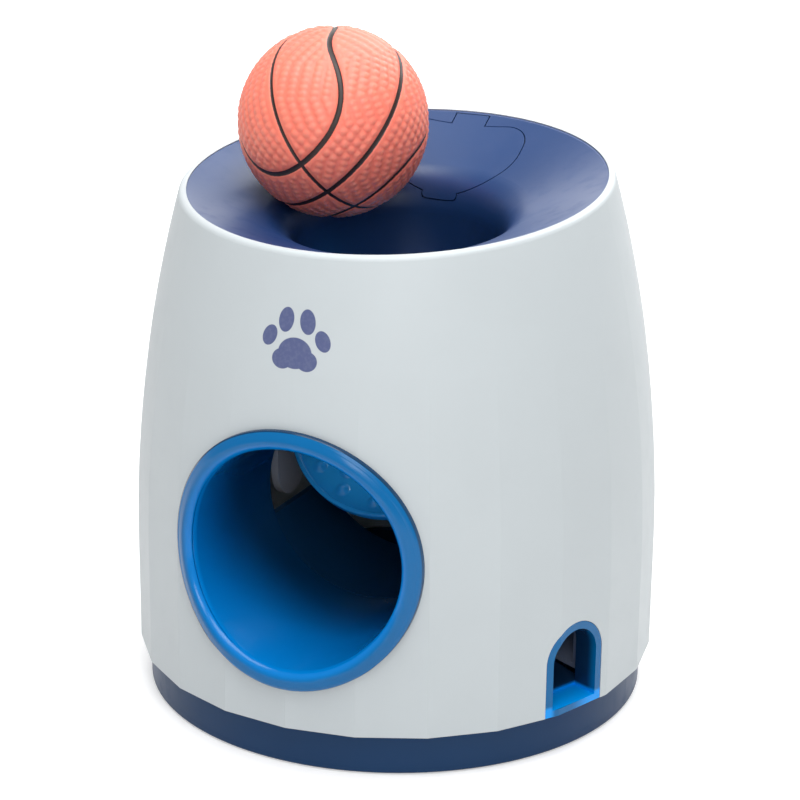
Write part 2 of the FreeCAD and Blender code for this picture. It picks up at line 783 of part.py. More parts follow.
def lid_outline(grow):
    """Solid of the hatch's outline: upright at the sides and the back, leaning at the front."""
    wire = rectangle(-LID_HALF_W - grow, LID_HALF_W + grow, 0, LID_BACK_Y + grow, LID_BACK_ROUND + grow,
                     THROAT_END_Z)
    upright = Part.Face(wire).extrude(Vector(0, 0, CEILING_Z - THROAT_END_Z))
    return upright.common(lid_front(grow))


def hinge_room(half_w, radius):
    """Solid of the hinge's tongue: a bar up to the hinge, and a cylinder about it."""
    bar = block(-half_w, half_w, LID_BACK_Y - LID_STEP, HINGE_Y, HINGE_Z - radius, CEILING_Z)
    return bar.fuse(cyl_x(radius, -half_w, half_w, HINGE_Y, HINGE_Z))


def make_treat_lid():
    """Hatch cover that carries on the funnel's curve, with tab, flush tongue and knuckle."""
    half_skin = LID_SKIN / 2
    low = ROLL_CENTRE_DEPTH + LID_SKIN
    upper = funnel_layer(0, half_skin, low).common(lid_outline(0))
    lower = funnel_layer(half_skin, LID_SKIN, low).common(lid_outline(-LID_STEP))
    tongue = funnel_layer(0, LID_SKIN, low).common(hinge_room(KNUCKLE_HALF_W, TONGUE_R))
    knuckle = cyl_x(KNUCKLE_R, -KNUCKLE_HALF_W, KNUCKLE_HALF_W, HINGE_Y, HINGE_Z)
    bore_x = KNUCKLE_HALF_W + CUT_OVER
    bore = cyl_x(HINGE_PIN_R + HINGE_PLAY, -bore_x, bore_x, HINGE_Y, HINGE_Z)
    return fuse([upper, lower, tongue, knuckle]).cut(bore)


def make_lid_hinge_pin():
    """Steel pin of the hatch hinge."""
    half_l = KNUCKLE_HALF_W + HINGE_GAP + HINGE_LUG_W
    return cyl_x(HINGE_PIN_R, -half_l, half_l, HINGE_Y, HINGE_Z)


def funnel_boss(azimuth):
    """Screw boss under the funnel, standing on its lug."""
    place = polar(FUNNEL_BOSS_PITCH_R, azimuth)
    column = cyl_z(FUNNEL_BOSS_R, FUNNEL_BOSS_Z, CEILING_Z, place.x, place.y)
    bore = cyl_z(SCREW_R + BORE_GAP, FUNNEL_BOSS_Z - CUT_OVER, FUNNEL_BOSS_Z + SCREW_BITE, place.x, place.y)
    return column.cut(bore)


def throat_pad(side):
    """Flat pad on the throat's outside that a side guard is screwed to."""
    x0, x1 = sorted((side * THROAT_R, side * GUARD_X))
    pad = block(x0, x1, -PAD_HALF_W, PAD_HALF_W, PAD_LOW_Z, GUARD_TOP_Z)
    for y, z in GUARD_SCREWS:
        b0, b1 = sorted((side * (THROAT_R + PAD_SKIN), side * (GUARD_X + CUT_OVER)))
        pad = pad.cut(cyl_x(SCREW_R + BORE_GAP, b0, b1, y, z))
    return pad


def hopper_boss(side):
    """Boss under the funnel that an ear of the hopper is screwed to."""
    column = cyl_z(HOPPER_BOSS_R, HOPPER_EAR_Z, CEILING_Z, side * HOPPER_EAR_X, HOPPER_EAR_Y)
    bore = cyl_z(SCREW_R + BORE_GAP, HOPPER_EAR_Z - CUT_OVER, HOPPER_EAR_Z + HOPPER_BITE,
                 side * HOPPER_EAR_X, HOPPER_EAR_Y)
    return column.cut(bore)


def make_funnel_top():
    """Leaning funnel with drop throat, skirt, bosses, hatch opening and hinge ears."""
    low = CEILING_Z - THROAT_END_Z
    bound = turned_body(-FUNNEL_FIT, True, BODY_Z0, CEILING_Z)
    core = turned_body(-FUNNEL_FIT - SKIRT_WALL, True, BODY_Z0, CEILING_Z)
    skirt = bound.cut(core).common(above_rim(SKIRT_DROP)).cut(above_rim(FUNNEL_SINK + FUNNEL_SKIN / 2))
    funnel = funnel_layer(0, FUNNEL_SKIN, low).common(bound).fuse(skirt)
    adds = [funnel_boss(azimuth) for azimuth in FUNNEL_BOSS_AZ]
    adds += [throat_pad(-1), throat_pad(1), hopper_boss(-1), hopper_boss(1)]
    over = funnel_void(FUNNEL_SKIN / 2, low)
    for add in adds:
        funnel = funnel.fuse(add.cut(over))
    slot = hinge_room(KNUCKLE_HALF_W + HINGE_GAP, TONGUE_R + TONGUE_GAP)
    funnel = funnel.cut(lid_outline(LID_GAP)).cut(slot)
    ledge = funnel_layer(LID_SKIN + LID_SEAT_GAP, LID_SKIN + LID_SEAT_GAP + LEDGE_T, low).common(
        block(-LEDGE_HALF_W, LEDGE_HALF_W, THROAT_R, LEDGE_BACK_Y, THROAT_END_Z, CEILING_Z))
    funnel = funnel.fuse(ledge)
    ear_x = KNUCKLE_HALF_W + HINGE_GAP
    for side in (-1, 1):
        x0, x1 = sorted((side * ear_x, side * (ear_x + HINGE_LUG_W)))
        ear = block(x0, x1, HINGE_Y - 2 * HINGE_PIN_R, HINGE_Y + KNUCKLE_R, HINGE_Z - KNUCKLE_R, CEILING_Z)
        funnel = funnel.fuse(ear.cut(over))
    pin_x = ear_x + HINGE_LUG_W + BORE_GAP
    funnel = funnel.cut(cyl_x(HINGE_PIN_R + BORE_GAP, -pin_x, pin_x, HINGE_Y, HINGE_Z))
    return funnel.cut(block(-TALL, TALL, -TALL, TALL, 0, THROAT_END_Z)).removeSplitter()


def pan_screw(x, y, z, length, direction):
    """Screw with a rounded pan head; the head's underside is at the given point."""
    shank = Part.makeCylinder(SCREW_R, length, ORIGIN, UP)
    head = Part.makeCylinder(SCREW_HEAD_R, SCREW_HEAD_T, Vector(0, 0, -SCREW_HEAD_T), UP)
    crown = [e for e in head.Edges if abs(e.BoundBox.ZMax + SCREW_HEAD_T) < 0.01]
    head = head.makeFillet(SCREW_HEAD_ROUND, crown)
    half_l, half_w = SCREW_CROSS_L / 2, SCREW_CROSS_W / 2
    low, high = -SCREW_HEAD_T - CUT_OVER, -SCREW_HEAD_T + SCREW_CROSS_DEPTH
    cross = block(-half_l, half_l, -half_w, half_w, low, high)
    cross = cross.fuse(block(-half_w, half_w, -half_l, half_l, low, high))
    screw = head.fuse(shank).cut(cross).removeSplitter()
    screw.Placement = FreeCAD.Placement(Vector(x, y, z), FreeCAD.Rotation(UP, direction))
    return screw


def make_base_plate():
    """Round tray under the shell with a locating lip, screw posts and foot recesses."""
    tray = cyl_z(BASE_R, BASE_Z0, BODY_Z0).cut(cyl_z(BASE_R - BASE_WALL, FLOOR_Z, BODY_Z0 + CUT_OVER))
    tray = tray.makeFillet(BASE_EDGE_ROUND, [e for e in tray.Edges if abs(e.BoundBox.ZMax - BASE_Z0) < 0.01])
    root_z = (BASE_Z0 + FLOOR_Z) / 2
    rib_z = FLOOR_Z + BASE_RIB_H
    lip_z = BODY_Z0 + LOCATOR_RISE
    lip_r = FLANGE_BORE_R - PART_GAP
    lip = cyl_z(lip_r, root_z, lip_z).cut(cyl_z(lip_r - LOCATOR_WALL, BASE_Z0, lip_z + CUT_OVER))
    window = outlet_outline(OUTLET_GAP + LOCATOR_NOTCH_GAP, -TALL / 2, -OUTLET_HOOD_R + CUT_OVER)
    base = tray.fuse(lip.cut(turned(window, OUTLET_AZ)))
    for k in range(BASE_RIB_COUNT):
        rib = block(BASE_HUB_R - BASE_RIB_T / 2, lip_r - LOCATOR_WALL / 2, -BASE_RIB_T / 2, BASE_RIB_T / 2,
                    root_z, rib_z)
        base = base.fuse(turned(rib, 360.0 * (k + 0.5) / BASE_RIB_COUNT))
    hub = cyl_z(BASE_HUB_R, root_z, rib_z).cut(cyl_z(BASE_HUB_R - BASE_RIB_T, BASE_Z0, rib_z + CUT_OVER))
    base = base.fuse(hub)
    for azimuth in BASE_SCREW_AZ:
        p = polar(BASE_SCREW_PITCH_R, azimuth)
        base = base.fuse(cyl_z(SHELL_BOSS_R, root_z, BODY_Z0, p.x, p.y))
        base = base.cut(cyl_z(SHELL_BOSS_R + PART_GAP, BODY_Z0, lip_z + CUT_OVER, p.x, p.y))
        base = base.cut(cyl_z(SCREW_R + BORE_GAP, 0, lip_z, p.x, p.y))
        base = base.cut(cyl_z(SCREW_HEAD_R + PART_GAP, 0, BASE_SCREW_HEAD_Z, p.x, p.y))
    for x, y in RAMP_SCREWS:
        base = base.fuse(cyl_z(RAMP_POST_R, root_z, RAMP_SEAT_Z, x, y))
        base = base.cut(cyl_z(SCREW_R + BORE_GAP, root_z, RAMP_SEAT_Z + CUT_OVER, x, y))
    for azimuth in CHUTE_POST_AZ:
        p = polar(CHUTE_MIDDLE_R, azimuth)
        base = base.fuse(cyl_z(CHUTE_POST_R + SOCKET_WALL, root_z, rib_z, p.x, p.y))
        base = base.cut(cyl_z(CHUTE_POST_R + SOCKET_FIT, FLOOR_Z, rib_z + CUT_OVER, p.x, p.y))
    for k in range(FOOT_COUNT):
        p = polar(FOOT_PITCH_R, 360.0 * k / FOOT_COUNT)
        base = base.cut(cyl_z(FOOT_R + FOOT_FIT, 0, BASE_Z0 + FOOT_SINK, p.x, p.y))
    return base.removeSplitter()


def make_non_slip_feet():
    """Rubber discs sunk in the base's underside."""
    feet = []
    for k in range(FOOT_COUNT):
        p = polar(FOOT_PITCH_R, 360.0 * k / FOOT_COUNT)
        foot = cyl_z(FOOT_R, 0, BASE_Z0 + FOOT_SINK, p.x, p.y)
        foot = foot.makeFillet(FOOT_ROUND, [e for e in foot.Edges if e.BoundBox.ZMax < 0.01])
        feet.append(foot)
    return Part.makeCompound(feet)


def make_base_screws():
    """Screws that close the base against the shell."""
    screws = []
    for azimuth in BASE_SCREW_AZ:
        p = polar(BASE_SCREW_PITCH_R, azimuth)
        length = SHELL_BOSS_TOP_Z - SHELL_BOSS_CAP - SCREW_TIP_GAP - BASE_SCREW_HEAD_Z
        screws.append(pan_screw(p.x, p.y, BASE_SCREW_HEAD_Z, length, UP))
    return Part.makeCompound(screws)


def make_funnel_screws():
    """Screws that hold the funnel down to the shell's lugs."""
    screws = []
    for azimuth in FUNNEL_BOSS_AZ:
        p = polar(FUNNEL_BOSS_PITCH_R, azimuth)
        low = FUNNEL_BOSS_Z - LUG_T
        screws.append(pan_screw(p.x, p.y, low, LUG_T + SCREW_BITE - SCREW_TIP_GAP, UP))
    return Part.makeCompound(screws)


def make_exit_tunnel():
    """Ball tunnel with a rounded bead that follows the shell's curve."""
    tube = cyl_y(TUNNEL_R + TUNNEL_WALL, -TALL / 2, TUNNEL_INNER_Y, 0, TUNNEL_Z)
    wide = cyl_y(BEAD_R, -TALL / 2, -BASE_R + BEAD_R / 2, 0, TUNNEL_Z)
    z1 = TUNNEL_Z + BODY_R
    outside = turned_body(BEAD_PROUD, False, BODY_Z0, z1)
    shell_face = turned_body(BEAD_SEAT_GAP, False, BODY_Z0, z1)
    bead = wide.common(outside).cut(shell_face)
    body = tube.common(outside).fuse(bead)
    body = body.cut(cyl_y(TUNNEL_R, -TALL / 2, TUNNEL_INNER_Y + CUT_OVER, 0, TUNNEL_Z)).removeSplitter()
    body = body.makeFillet(BEAD_OUTER_ROUND, bead_edges(body, BEAD_R))
    return body.makeFillet(BEAD_INNER_ROUND, bead_edges(body, TUNNEL_R))


def bead_edges(body, radius):
    """Edges of the bead's front face at a radius from the tunnel's axis."""
    edges = []
    for edge in body.Edges:
        points = edge.discretize(7)
        away = [math.hypot(p.x, p.z - TUNNEL_Z) - radius for p in points]
        reach = [math.hypot(p.x, p.y) - body_radius(p.z) - BEAD_PROUD for p in points]
        if max(abs(d) for d in away) < 0.05 and min(reach) > -0.05:
            edges.append(edge)
    return edges


def make_tunnel_ring():
    """Ring that holds the tunnel from inside the shell's wall."""
    z1 = TUNNEL_Z + BODY_R
    ring = cyl_y(TUNNEL_RING_R, -TALL / 2, -FLANGE_BORE_R / 2, 0, TUNNEL_Z)
    ring = ring.cut(cyl_y(TUNNEL_R + TUNNEL_WALL + TUNNEL_RING_FIT, -TALL / 2, 0, 0, TUNNEL_Z))
    ring = ring.common(turned_body(-TUNNEL_RING_FIT, True, BODY_Z0, z1))
    return ring.cut(turned_body(-TUNNEL_RING_T, True, BODY_Z0, z1))


def make_treat_outlet():
    """Arched frame flush with the shell, with a sloping pan behind it."""
    half = OUTLET_W / 2
    low = BODY_Z0 + OUTLET_FOOT_GAP
    root_y = -OUTLET_HOOD_R - OUTLET_ROOT
    under_z = PAN_BACK_Z - PAN_WALL
    top_z = PAN_BACK_Z + PAN_BACK_RISE
    wires = [facet_wire(z, -OUTLET_FLUSH) for z in (low, BELLY_TOP_Z)]
    face = turned(Part.makeLoft(wires, True, True), -OUTLET_AZ)
    hood = outlet_outline(0, -TALL / 2, -OUTLET_HOOD_R).common(face)
    hood = hood.cut(outlet_outline(-OUTLET_FRAME, -TALL / 2, 0))
    sill = block(-half, half, -TALL / 2, -OUTLET_HOOD_R, low, OUTLET_SILL_Z).common(face)
    floor = prism([Vector(-half, root_y, low), Vector(-half, root_y, OUTLET_SILL_Z),
                   Vector(-half, -OUTLET_HOOD_R, OUTLET_SILL_Z), Vector(-half, -OUTLET_HOOD_R, PAN_FRONT_Z),
                   Vector(-half, -PAN_BACK_R, PAN_BACK_Z), Vector(-half, -PAN_BACK_R, under_z),
                   Vector(-half, -OUTLET_HOOD_R, low)], Vector(OUTLET_W, 0, 0))
    back = block(-half, half, -PAN_BACK_R - PAN_WALL, -PAN_BACK_R, under_z, top_z)
    far_wall = block(-half, -half + PAN_WALL, root_y, -PAN_BACK_R, under_z, top_z)
    far_skirt = prism([Vector(-half, root_y, low), Vector(-half, -PAN_BACK_R, under_z),
                       Vector(-half, root_y, PAN_BACK_Z)], Vector(PAN_WALL, 0, 0))
    return turned(fuse([hood, sill, floor, back, far_wall, far_skirt]), OUTLET_AZ)


def chute_height(azimuth):
    """Height of the chute's floor at an azimuth."""
    fall = math.tan(math.radians(CHUTE_SLOPE)) * CHUTE_MIDDLE_R
    return CHUTE_START_Z - fall * math.radians(CHUTE_START_AZ - azimuth)


def chute_section(azimuth, z, x0, x1, rise):
    """Square section of the chute in the radial plane at an azimuth."""
    return Part.makePolygon([polar(x0, azimuth, z), polar(x1, azimuth, z), polar(x1, azimuth, z + rise),
                             polar(x0, azimuth, z + rise), polar(x0, azimuth, z)])


def chute_run(x0, x1, lift, rise):
    """Ruled spiral body between two radii."""
    end_az = OUTLET_AZ + CHUTE_OVERLAP_AZ
    wires = []
    for k in range(CHUTE_STEPS + 1):
        azimuth = CHUTE_START_AZ + (end_az - CHUTE_START_AZ) * k / CHUTE_STEPS
        wires.append(chute_section(azimuth, chute_height(azimuth) + lift, x0, x1, rise))
    return Part.makeLoft(wires, True, True)


def make_treat_chute():
    """Spiral slide from the dosing drum down to the outlet pan."""
    floor = chute_run(CHUTE_IN_R, CHUTE_OUT_R, -CHUTE_WALL, CHUTE_WALL)
    rise = CHUTE_WALL_RISE + CHUTE_WALL / 2
    inner = chute_run(CHUTE_IN_R, CHUTE_IN_R + CHUTE_WALL, -CHUTE_WALL / 2, rise)
    outer = chute_run(CHUTE_OUT_R - CHUTE_WALL, CHUTE_OUT_R, -CHUTE_WALL / 2, rise)
    chute = fuse([floor, inner, outer])
    pan_side = block(-TALL, OUTLET_W / 2 + PART_GAP, -TALL, TALL, 0, TALL)
    chute = chute.cut(turned(pan_side, OUTLET_AZ))
    end = block(-CHUTE_WALL, 0, -CHUTE_OUT_R, -CHUTE_IN_R, CHUTE_START_Z - CHUTE_WALL / 2,
                CHUTE_START_Z + CHUTE_WALL_RISE)
    chute = chute.fuse(turned(end, CHUTE_START_AZ))
    for azimuth in CHUTE_POST_AZ:
        p = polar(CHUTE_MIDDLE_R, azimuth)
        top_z = chute_height(azimuth) - CHUTE_WALL / 2
        chute = chute.fuse(cyl_z(CHUTE_POST_R, FLOOR_Z, top_z, p.x, p.y))
    return chute.removeSplitter()


def ramp_axis_height(y):
    """Height of the trough's axis over a point of the middle plane."""
    front_z = TUNNEL_Z - TUNNEL_R + RAMP_STEP + RAMP_R
    return front_z + math.tan(math.radians(RAMP_SLOPE)) * (y - RAMP_FRONT_Y)


def trough_cylinder(radius):
    """Long cylinder about the trough's sloping axis."""
    shape = cyl_y(radius, -TALL / 2, TALL / 2)
    shape.rotate(ORIGIN, AXIS_X, RAMP_SLOPE)
    shape.translate(Vector(0, RAMP_FRONT_Y, ramp_axis_height(RAMP_FRONT_Y)))
    return shape


def make_ball_ramp():
    """Sloping trough under the throat, on two legs screwed to the base."""
    window = block(-GUARD_X, GUARD_X, RAMP_FRONT_Y, RAMP_BACK_Y, FLOOR_Z, RAMP_SIDE_Z)
    shapes = [trough_cylinder(RAMP_R + RAMP_T).common(window)]
    rows = sorted({place[1] for place in RAMP_SCREWS})
    half_t = RAMP_LEG_T / 2
    for y in rows:
        shapes.append(block(-RAMP_LEG_HALF_W, RAMP_LEG_HALF_W, y - half_t, y + half_t, RAMP_SEAT_Z,
                            ramp_axis_height(y) - RAMP_R / 2))
    shapes.append(block(-half_t, half_t, rows[0], rows[-1], RAMP_SEAT_Z, ramp_axis_height(rows[0]) - RAMP_R))
    ramp = fuse(shapes).cut(trough_cylinder(RAMP_R))
    tab_z = RAMP_SEAT_Z + RAMP_TAB_T
    for x, y in RAMP_SCREWS:
        x0, x1 = sorted((x, math.copysign(RAMP_LEG_HALF_W - RAMP_LEG_T, x)))
        bridge = block(x0, x1, y - RAMP_TAB_W / 2, y + RAMP_TAB_W / 2, RAMP_SEAT_Z, tab_z)
        ramp = ramp.fuse(cyl_z(RAMP_TAB_W / 2, RAMP_SEAT_Z, tab_z, x, y)).fuse(bridge)
    for x, y in RAMP_SCREWS:
        ramp = ramp.cut(cyl_z(SCREW_R + BORE_GAP, RAMP_SEAT_Z - CUT_OVER, tab_z + CUT_OVER, x, y))
    return ramp.removeSplitter()


def make_ramp_screws():
    """Screws that hold the ramp down to the base."""
    screws = []
    for x, y in RAMP_SCREWS:
        head_z = RAMP_SEAT_Z + RAMP_TAB_T
        screws.append(pan_screw(x, y, head_z, head_z - FLOOR_Z - CUT_OVER, -UP))
    return Part.makeCompound(screws)


def arm_edge_point(upper, along, outward):
    """Point beside a straight edge of the counterweight arm, in the YZ plane, at rest."""
    taper = math.asin((ARM_CUP_R - ARM_HUB_R) / ARM_REACH)
    lean = math.radians(ARM_RISE_DEG) + (taper if upper else -taper)
    side = 1 if upper else -1
    off = ARM_HUB_R + outward
    y = AXLE_Y + along * math.cos(lean) - side * off * math.sin(lean)
    z = AXLE_Z + along * math.sin(lean) + side * off * math.cos(lean)
    return y, z


def swung(y, z, degrees):
    """Point of the YZ plane turned about the axle."""
    a = math.radians(degrees)
    dy, dz = y - AXLE_Y, z - AXLE_Z
    return AXLE_Y + dy * math.cos(a) - dz * math.sin(a), AXLE_Z + dy * math.sin(a) + dz * math.cos(a)


REST_PEG = arm_edge_point(False, REST_PEG_ALONG, BUMPER_R + STOP_GAP)
END_PEG = swung(*arm_edge_point(True, END_PEG_ALONG, BUMPER_R + STOP_GAP), PADDLE_SWING)


def make_side_guard(side):
    """Side plate beside the ball's path, with axle boss and two stop pegs."""
    x0 = side * GUARD_X
    rest_y, rest_z = REST_PEG
    end_y, end_z = END_PEG
    outline = [(-GUARD_HALF_W, GUARD_TOP_Z), (-GUARD_HALF_W, GUARD_LOW_Z), (GUARD_HALF_W, GUARD_LOW_Z),
               (GUARD_HALF_W, AXLE_Z - GUARD_NECK_DROP), (rest_y - PEG_RIM, rest_z - PEG_RIM),
               (rest_y + PEG_RIM, rest_z - PEG_RIM), (rest_y + PEG_RIM, AXLE_Z + PEG_R),
               (end_y + PEG_RIM, end_z + PEG_RIM), (end_y - PEG_RIM, end_z + PEG_RIM),
               (GUARD_HALF_W, GUARD_TOP_Z)]
    small, wide = GUARD_ROUND_SMALL, GUARD_ROUND
    foot_round = GUARD_HALF_W - BUSH_FIT
    radii = [small, foot_round, foot_round, wide, small, small, wide, small, small, small]
    plate = Part.Face(rounded(outline, radii, side_place(x0))).extrude(Vector(side * GUARD_T, 0, 0))
    boss_x = side * (GUARD_X + GUARD_T + GUARD_BOSS_RISE)
    x_in, x_out = sorted((x0, boss_x))
    plate = plate.fuse(cyl_x(BUSH_R + GUARD_BOSS_WALL, x_in, x_out, AXLE_Y, AXLE_Z))
    spine_in, spine_out = sorted((side * (GUARD_X + GUARD_T), boss_x))
    plate = plate.fuse(block(spine_in, spine_out, -GUARD_SPINE_T / 2, GUARD_SPINE_T / 2,
                             GUARD_LOW_Z + GUARD_HALF_W, PAD_LOW_Z))
    peg_in, peg_out = sorted((x0, side * PEG_X))
    for y, z in (REST_PEG, END_PEG):
        plate = plate.fuse(cyl_x(PEG_R, peg_in, peg_out, y, z))
    plate = plate.cut(cyl_x(BUSH_R + BUSH_FIT, x_in - CUT_OVER, x_out + CUT_OVER, AXLE_Y, AXLE_Z))
    for y, z in GUARD_SCREWS:
        plate = plate.cut(cyl_x(SCREW_R + BORE_GAP, x_in - CUT_OVER, x_out + CUT_OVER, y, z))
    return plate.removeSplitter()


def make_guard_screws():
    """Screws through the side guards into the throat's pads."""
    screws = []
    for side in (-1, 1):
        for y, z in GUARD_SCREWS:
            screws.append(pan_screw(side * (GUARD_X + GUARD_T), y, z, GUARD_T + GUARD_SCREW_BITE,
                                    Vector(-side, 0, 0)))
    return Part.makeCompound(screws)


def make_axle_bush(side):
    """Flanged bush of the paddle axle in a side guard."""
    inner_x = side * (GUARD_X - BUSH_FLANGE_T)
    outer_x = side * (GUARD_X + GUARD_T + GUARD_BOSS_RISE)
    f0, f1 = sorted((inner_x, side * GUARD_X))
    b0, b1 = sorted((inner_x, outer_x))
    bush = cyl_x(BUSH_FLANGE_R, f0, f1, AXLE_Y, AXLE_Z).fuse(cyl_x(BUSH_R, b0, b1, AXLE_Y, AXLE_Z))
    bore = cyl_x(AXLE_R + AXLE_PLAY, b0 - CUT_OVER, b1 + CUT_OVER, AXLE_Y, AXLE_Z)
    return bush.cut(bore).removeSplitter()


def make_stop_bumpers():
    """Rubber sleeves on the stop pegs."""
    sleeves = []
    for side in (-1, 1):
        s0, s1 = sorted((side * (PEG_X + PART_GAP), side * (GUARD_X - BUMPER_FIT)))
        for y, z in (REST_PEG, END_PEG):
            bore = cyl_x(PEG_R + BUMPER_FIT, s0 - CUT_OVER, s1 + CUT_OVER, y, z)
            sleeves.append(cyl_x(BUMPER_R, s0, s1, y, z).cut(bore))
    return Part.makeCompound(sleeves)


def lean_paddle(shape):
    """Copy of an upright paddle shape, leaned forward and moved to its place."""
    copy = shape.copy()
    copy.rotate(ORIGIN, AXIS_X, -PADDLE_LEAN)
    copy.translate(Vector(0, PADDLE_Y, PADDLE_Z))
    return copy


def at(r, y):
    """Point of an outline that is turned about Y."""
    return Vector(r, y, 0)


def bowl_y(r, back):
    """Depth of the paddle's dish at a radius, moved back by an offset."""
    bowl = (PADDLE_R ** 2 + PADDLE_DISH ** 2) / (2 * PADDLE_DISH)
    return PADDLE_DISH + back - bowl + math.sqrt(bowl ** 2 - r ** 2)


def paddle_disc():
    """Dished disc with its raised lip, about Y."""
    inner_r = PADDLE_R - PADDLE_LIP_W
    front = -PADDLE_LIP_T / 2
    edges = [
        line(at(0, bowl_y(0, PADDLE_SKIN)), at(0, bowl_y(0, 0))),
        arc(at(0, bowl_y(0, 0)), at(inner_r / 2, bowl_y(inner_r / 2, 0)), at(inner_r, bowl_y(inner_r, 0))),
        line(at(inner_r, bowl_y(inner_r, 0)), at(inner_r, front)),
        line(at(inner_r, front), at(PADDLE_R, front)),
        line(at(PADDLE_R, front), at(PADDLE_R, bowl_y(PADDLE_R, PADDLE_SKIN))),
        arc(at(PADDLE_R, bowl_y(PADDLE_R, PADDLE_SKIN)), at(PADDLE_R / 2, bowl_y(PADDLE_R / 2, PADDLE_SKIN)),
            at(0, bowl_y(0, PADDLE_SKIN))),
    ]
    disc = Part.Face(Part.Wire(edges)).revolve(ORIGIN, Vector(0, 1, 0), 360)
    lip = [e for e in disc.Edges if max(abs(e.BoundBox.YMax - front), abs(e.BoundBox.YMin - front)) < 0.01]
    return disc.makeFillet(PADDLE_LIP_ROUND, lip)


def paddle_bump():
    """Shallow dome about Y, with its foot at the origin."""
    dome_r = (PADDLE_BUMP_R ** 2 + PADDLE_BUMP_RISE ** 2) / (2 * PADDLE_BUMP_RISE)
    dome = Part.makeSphere(dome_r, Vector(0, dome_r - PADDLE_BUMP_RISE, 0))
    return dome.common(cyl_y(PADDLE_BUMP_R, -2 * PADDLE_BUMP_RISE, PADDLE_SKIN / 3))


def paddle_neck():
    """Flat neck from the dish up to the axle's sleeve."""
    low = PADDLE_R * NECK_ROOT
    face_y = -PADDLE_LIP_T / 4
    x = -NECK_HALF_W
    return prism([Vector(x, bowl_y(low, PADDLE_SKIN / 8), low), Vector(x, face_y, PADDLE_R),
                  Vector(x, AXLE_BACK - SLEEVE_R, AXLE_UP),
                  Vector(x, AXLE_BACK, AXLE_UP + SLEEVE_R - PART_GAP),
                  Vector(x, AXLE_BACK, AXLE_UP - AXLE_R / 2), Vector(x, face_y + NECK_T, PADDLE_R),
                  Vector(x, bowl_y(low, 7 * PADDLE_SKIN / 8), low)], Vector(2 * NECK_HALF_W, 0, 0))


def paddle_rib(x):
    """Stiffening rib behind the dish and the neck."""
    low = PADDLE_R * NECK_ROOT
    foot = PADDLE_R * RIB_FOOT
    back_y = AXLE_BACK + SLEEVE_R * math.sin(RIB_TURN)
    back_z = AXLE_UP - SLEEVE_R * math.cos(RIB_TURN)
    return prism([Vector(x, bowl_y(foot, 3 * PADDLE_SKIN / 4), foot),
                  Vector(x, bowl_y(low, PADDLE_SKIN / 2), low),
                  Vector(x, AXLE_BACK - SLEEVE_R / 3, AXLE_UP), Vector(x, back_y, back_z),
                  Vector(x, bowl_y(low, PADDLE_SKIN) + RIB_DEPTH, low)], Vector(NECK_RIB_T, 0, 0))


def make_trigger_paddle():
    """Dished round paddle with bumps, a ribbed neck and a sleeve for the axle."""
    body = paddle_disc()
    bump = paddle_bump()
    for x, z in bump_places():
        copy = bump.copy()
        copy.translate(Vector(x, bowl_y(math.hypot(x, z), 0), z))
        body = body.fuse(copy)
    body = body.fuse(paddle_neck())
    for x in (-NECK_HALF_W, NECK_HALF_W - NECK_RIB_T):
        body = body.fuse(paddle_rib(x))
    body = body.fuse(cyl_x(SLEEVE_R, SLEEVE_LEFT_X, SLEEVE_RIGHT_X, AXLE_BACK, AXLE_UP))
    bore = cyl_x(AXLE_R + AXLE_GRIP, SLEEVE_LEFT_X - CUT_OVER, SLEEVE_RIGHT_X + CUT_OVER, AXLE_BACK, AXLE_UP)
    return lean_paddle(body.cut(bore).removeSplitter())


def bump_places():
    """Centres of the paddle's bumps: a hexagonal field inside the dish."""
    places = []
    field_r = PADDLE_R - PADDLE_LIP_W - PADDLE_BUMP_R - BUMP_EDGE_GAP
    count = math.ceil(field_r / PADDLE_BUMP_PITCH) + 1
    for row in range(-count, count + 1):
        z = row * PADDLE_BUMP_PITCH * math.sqrt(3) / 2
        shift = PADDLE_BUMP_PITCH / 2 if row % 2 else 0.0
        for column in range(-count, count + 1):
            x = column * PADDLE_BUMP_PITCH + shift
            if math.hypot(x, z) < field_r:
                places.append((x, z))
    return places


def make_paddle_axle():
    """Steel axle of the paddle."""
    end_x = CLIP_X + CLIP_T + AXLE_CHAMFER + PART_GAP
    axle = cyl_x(AXLE_R, -end_x, end_x, AXLE_Y, AXLE_Z)
    return axle.makeChamfer(AXLE_CHAMFER, [e for e in axle.Edges if e.BoundBox.XLength < 0.01])


def make_axle_clips():
    """Retaining clips on the axle's ends, open at one side."""
    clips = []
    for side in (-1, 1):
        c0, c1 = sorted((side * CLIP_X, side * (CLIP_X + CLIP_T)))
        clip = cyl_x(CLIP_R, c0, c1, AXLE_Y, AXLE_Z)
        clip = clip.cut(cyl_x(AXLE_R + AXLE_GRIP, c0 - CUT_OVER, c1 + CUT_OVER, AXLE_Y, AXLE_Z))
        slot = block(c0 - CUT_OVER, c1 + CUT_OVER, AXLE_Y - CLIP_SLOT_W / 2, AXLE_Y + CLIP_SLOT_W / 2,
                     AXLE_Z - 2 * CLIP_R, AXLE_Z)
        clips.append(clip.cut(slot))
    return Part.makeCompound(clips)


def arm_centre():
    """Place of the counterweight in the YZ plane, at rest."""
    a = math.radians(ARM_RISE_DEG)
    return AXLE_Y + ARM_REACH * math.cos(a), AXLE_Z + ARM_REACH * math.sin(a)


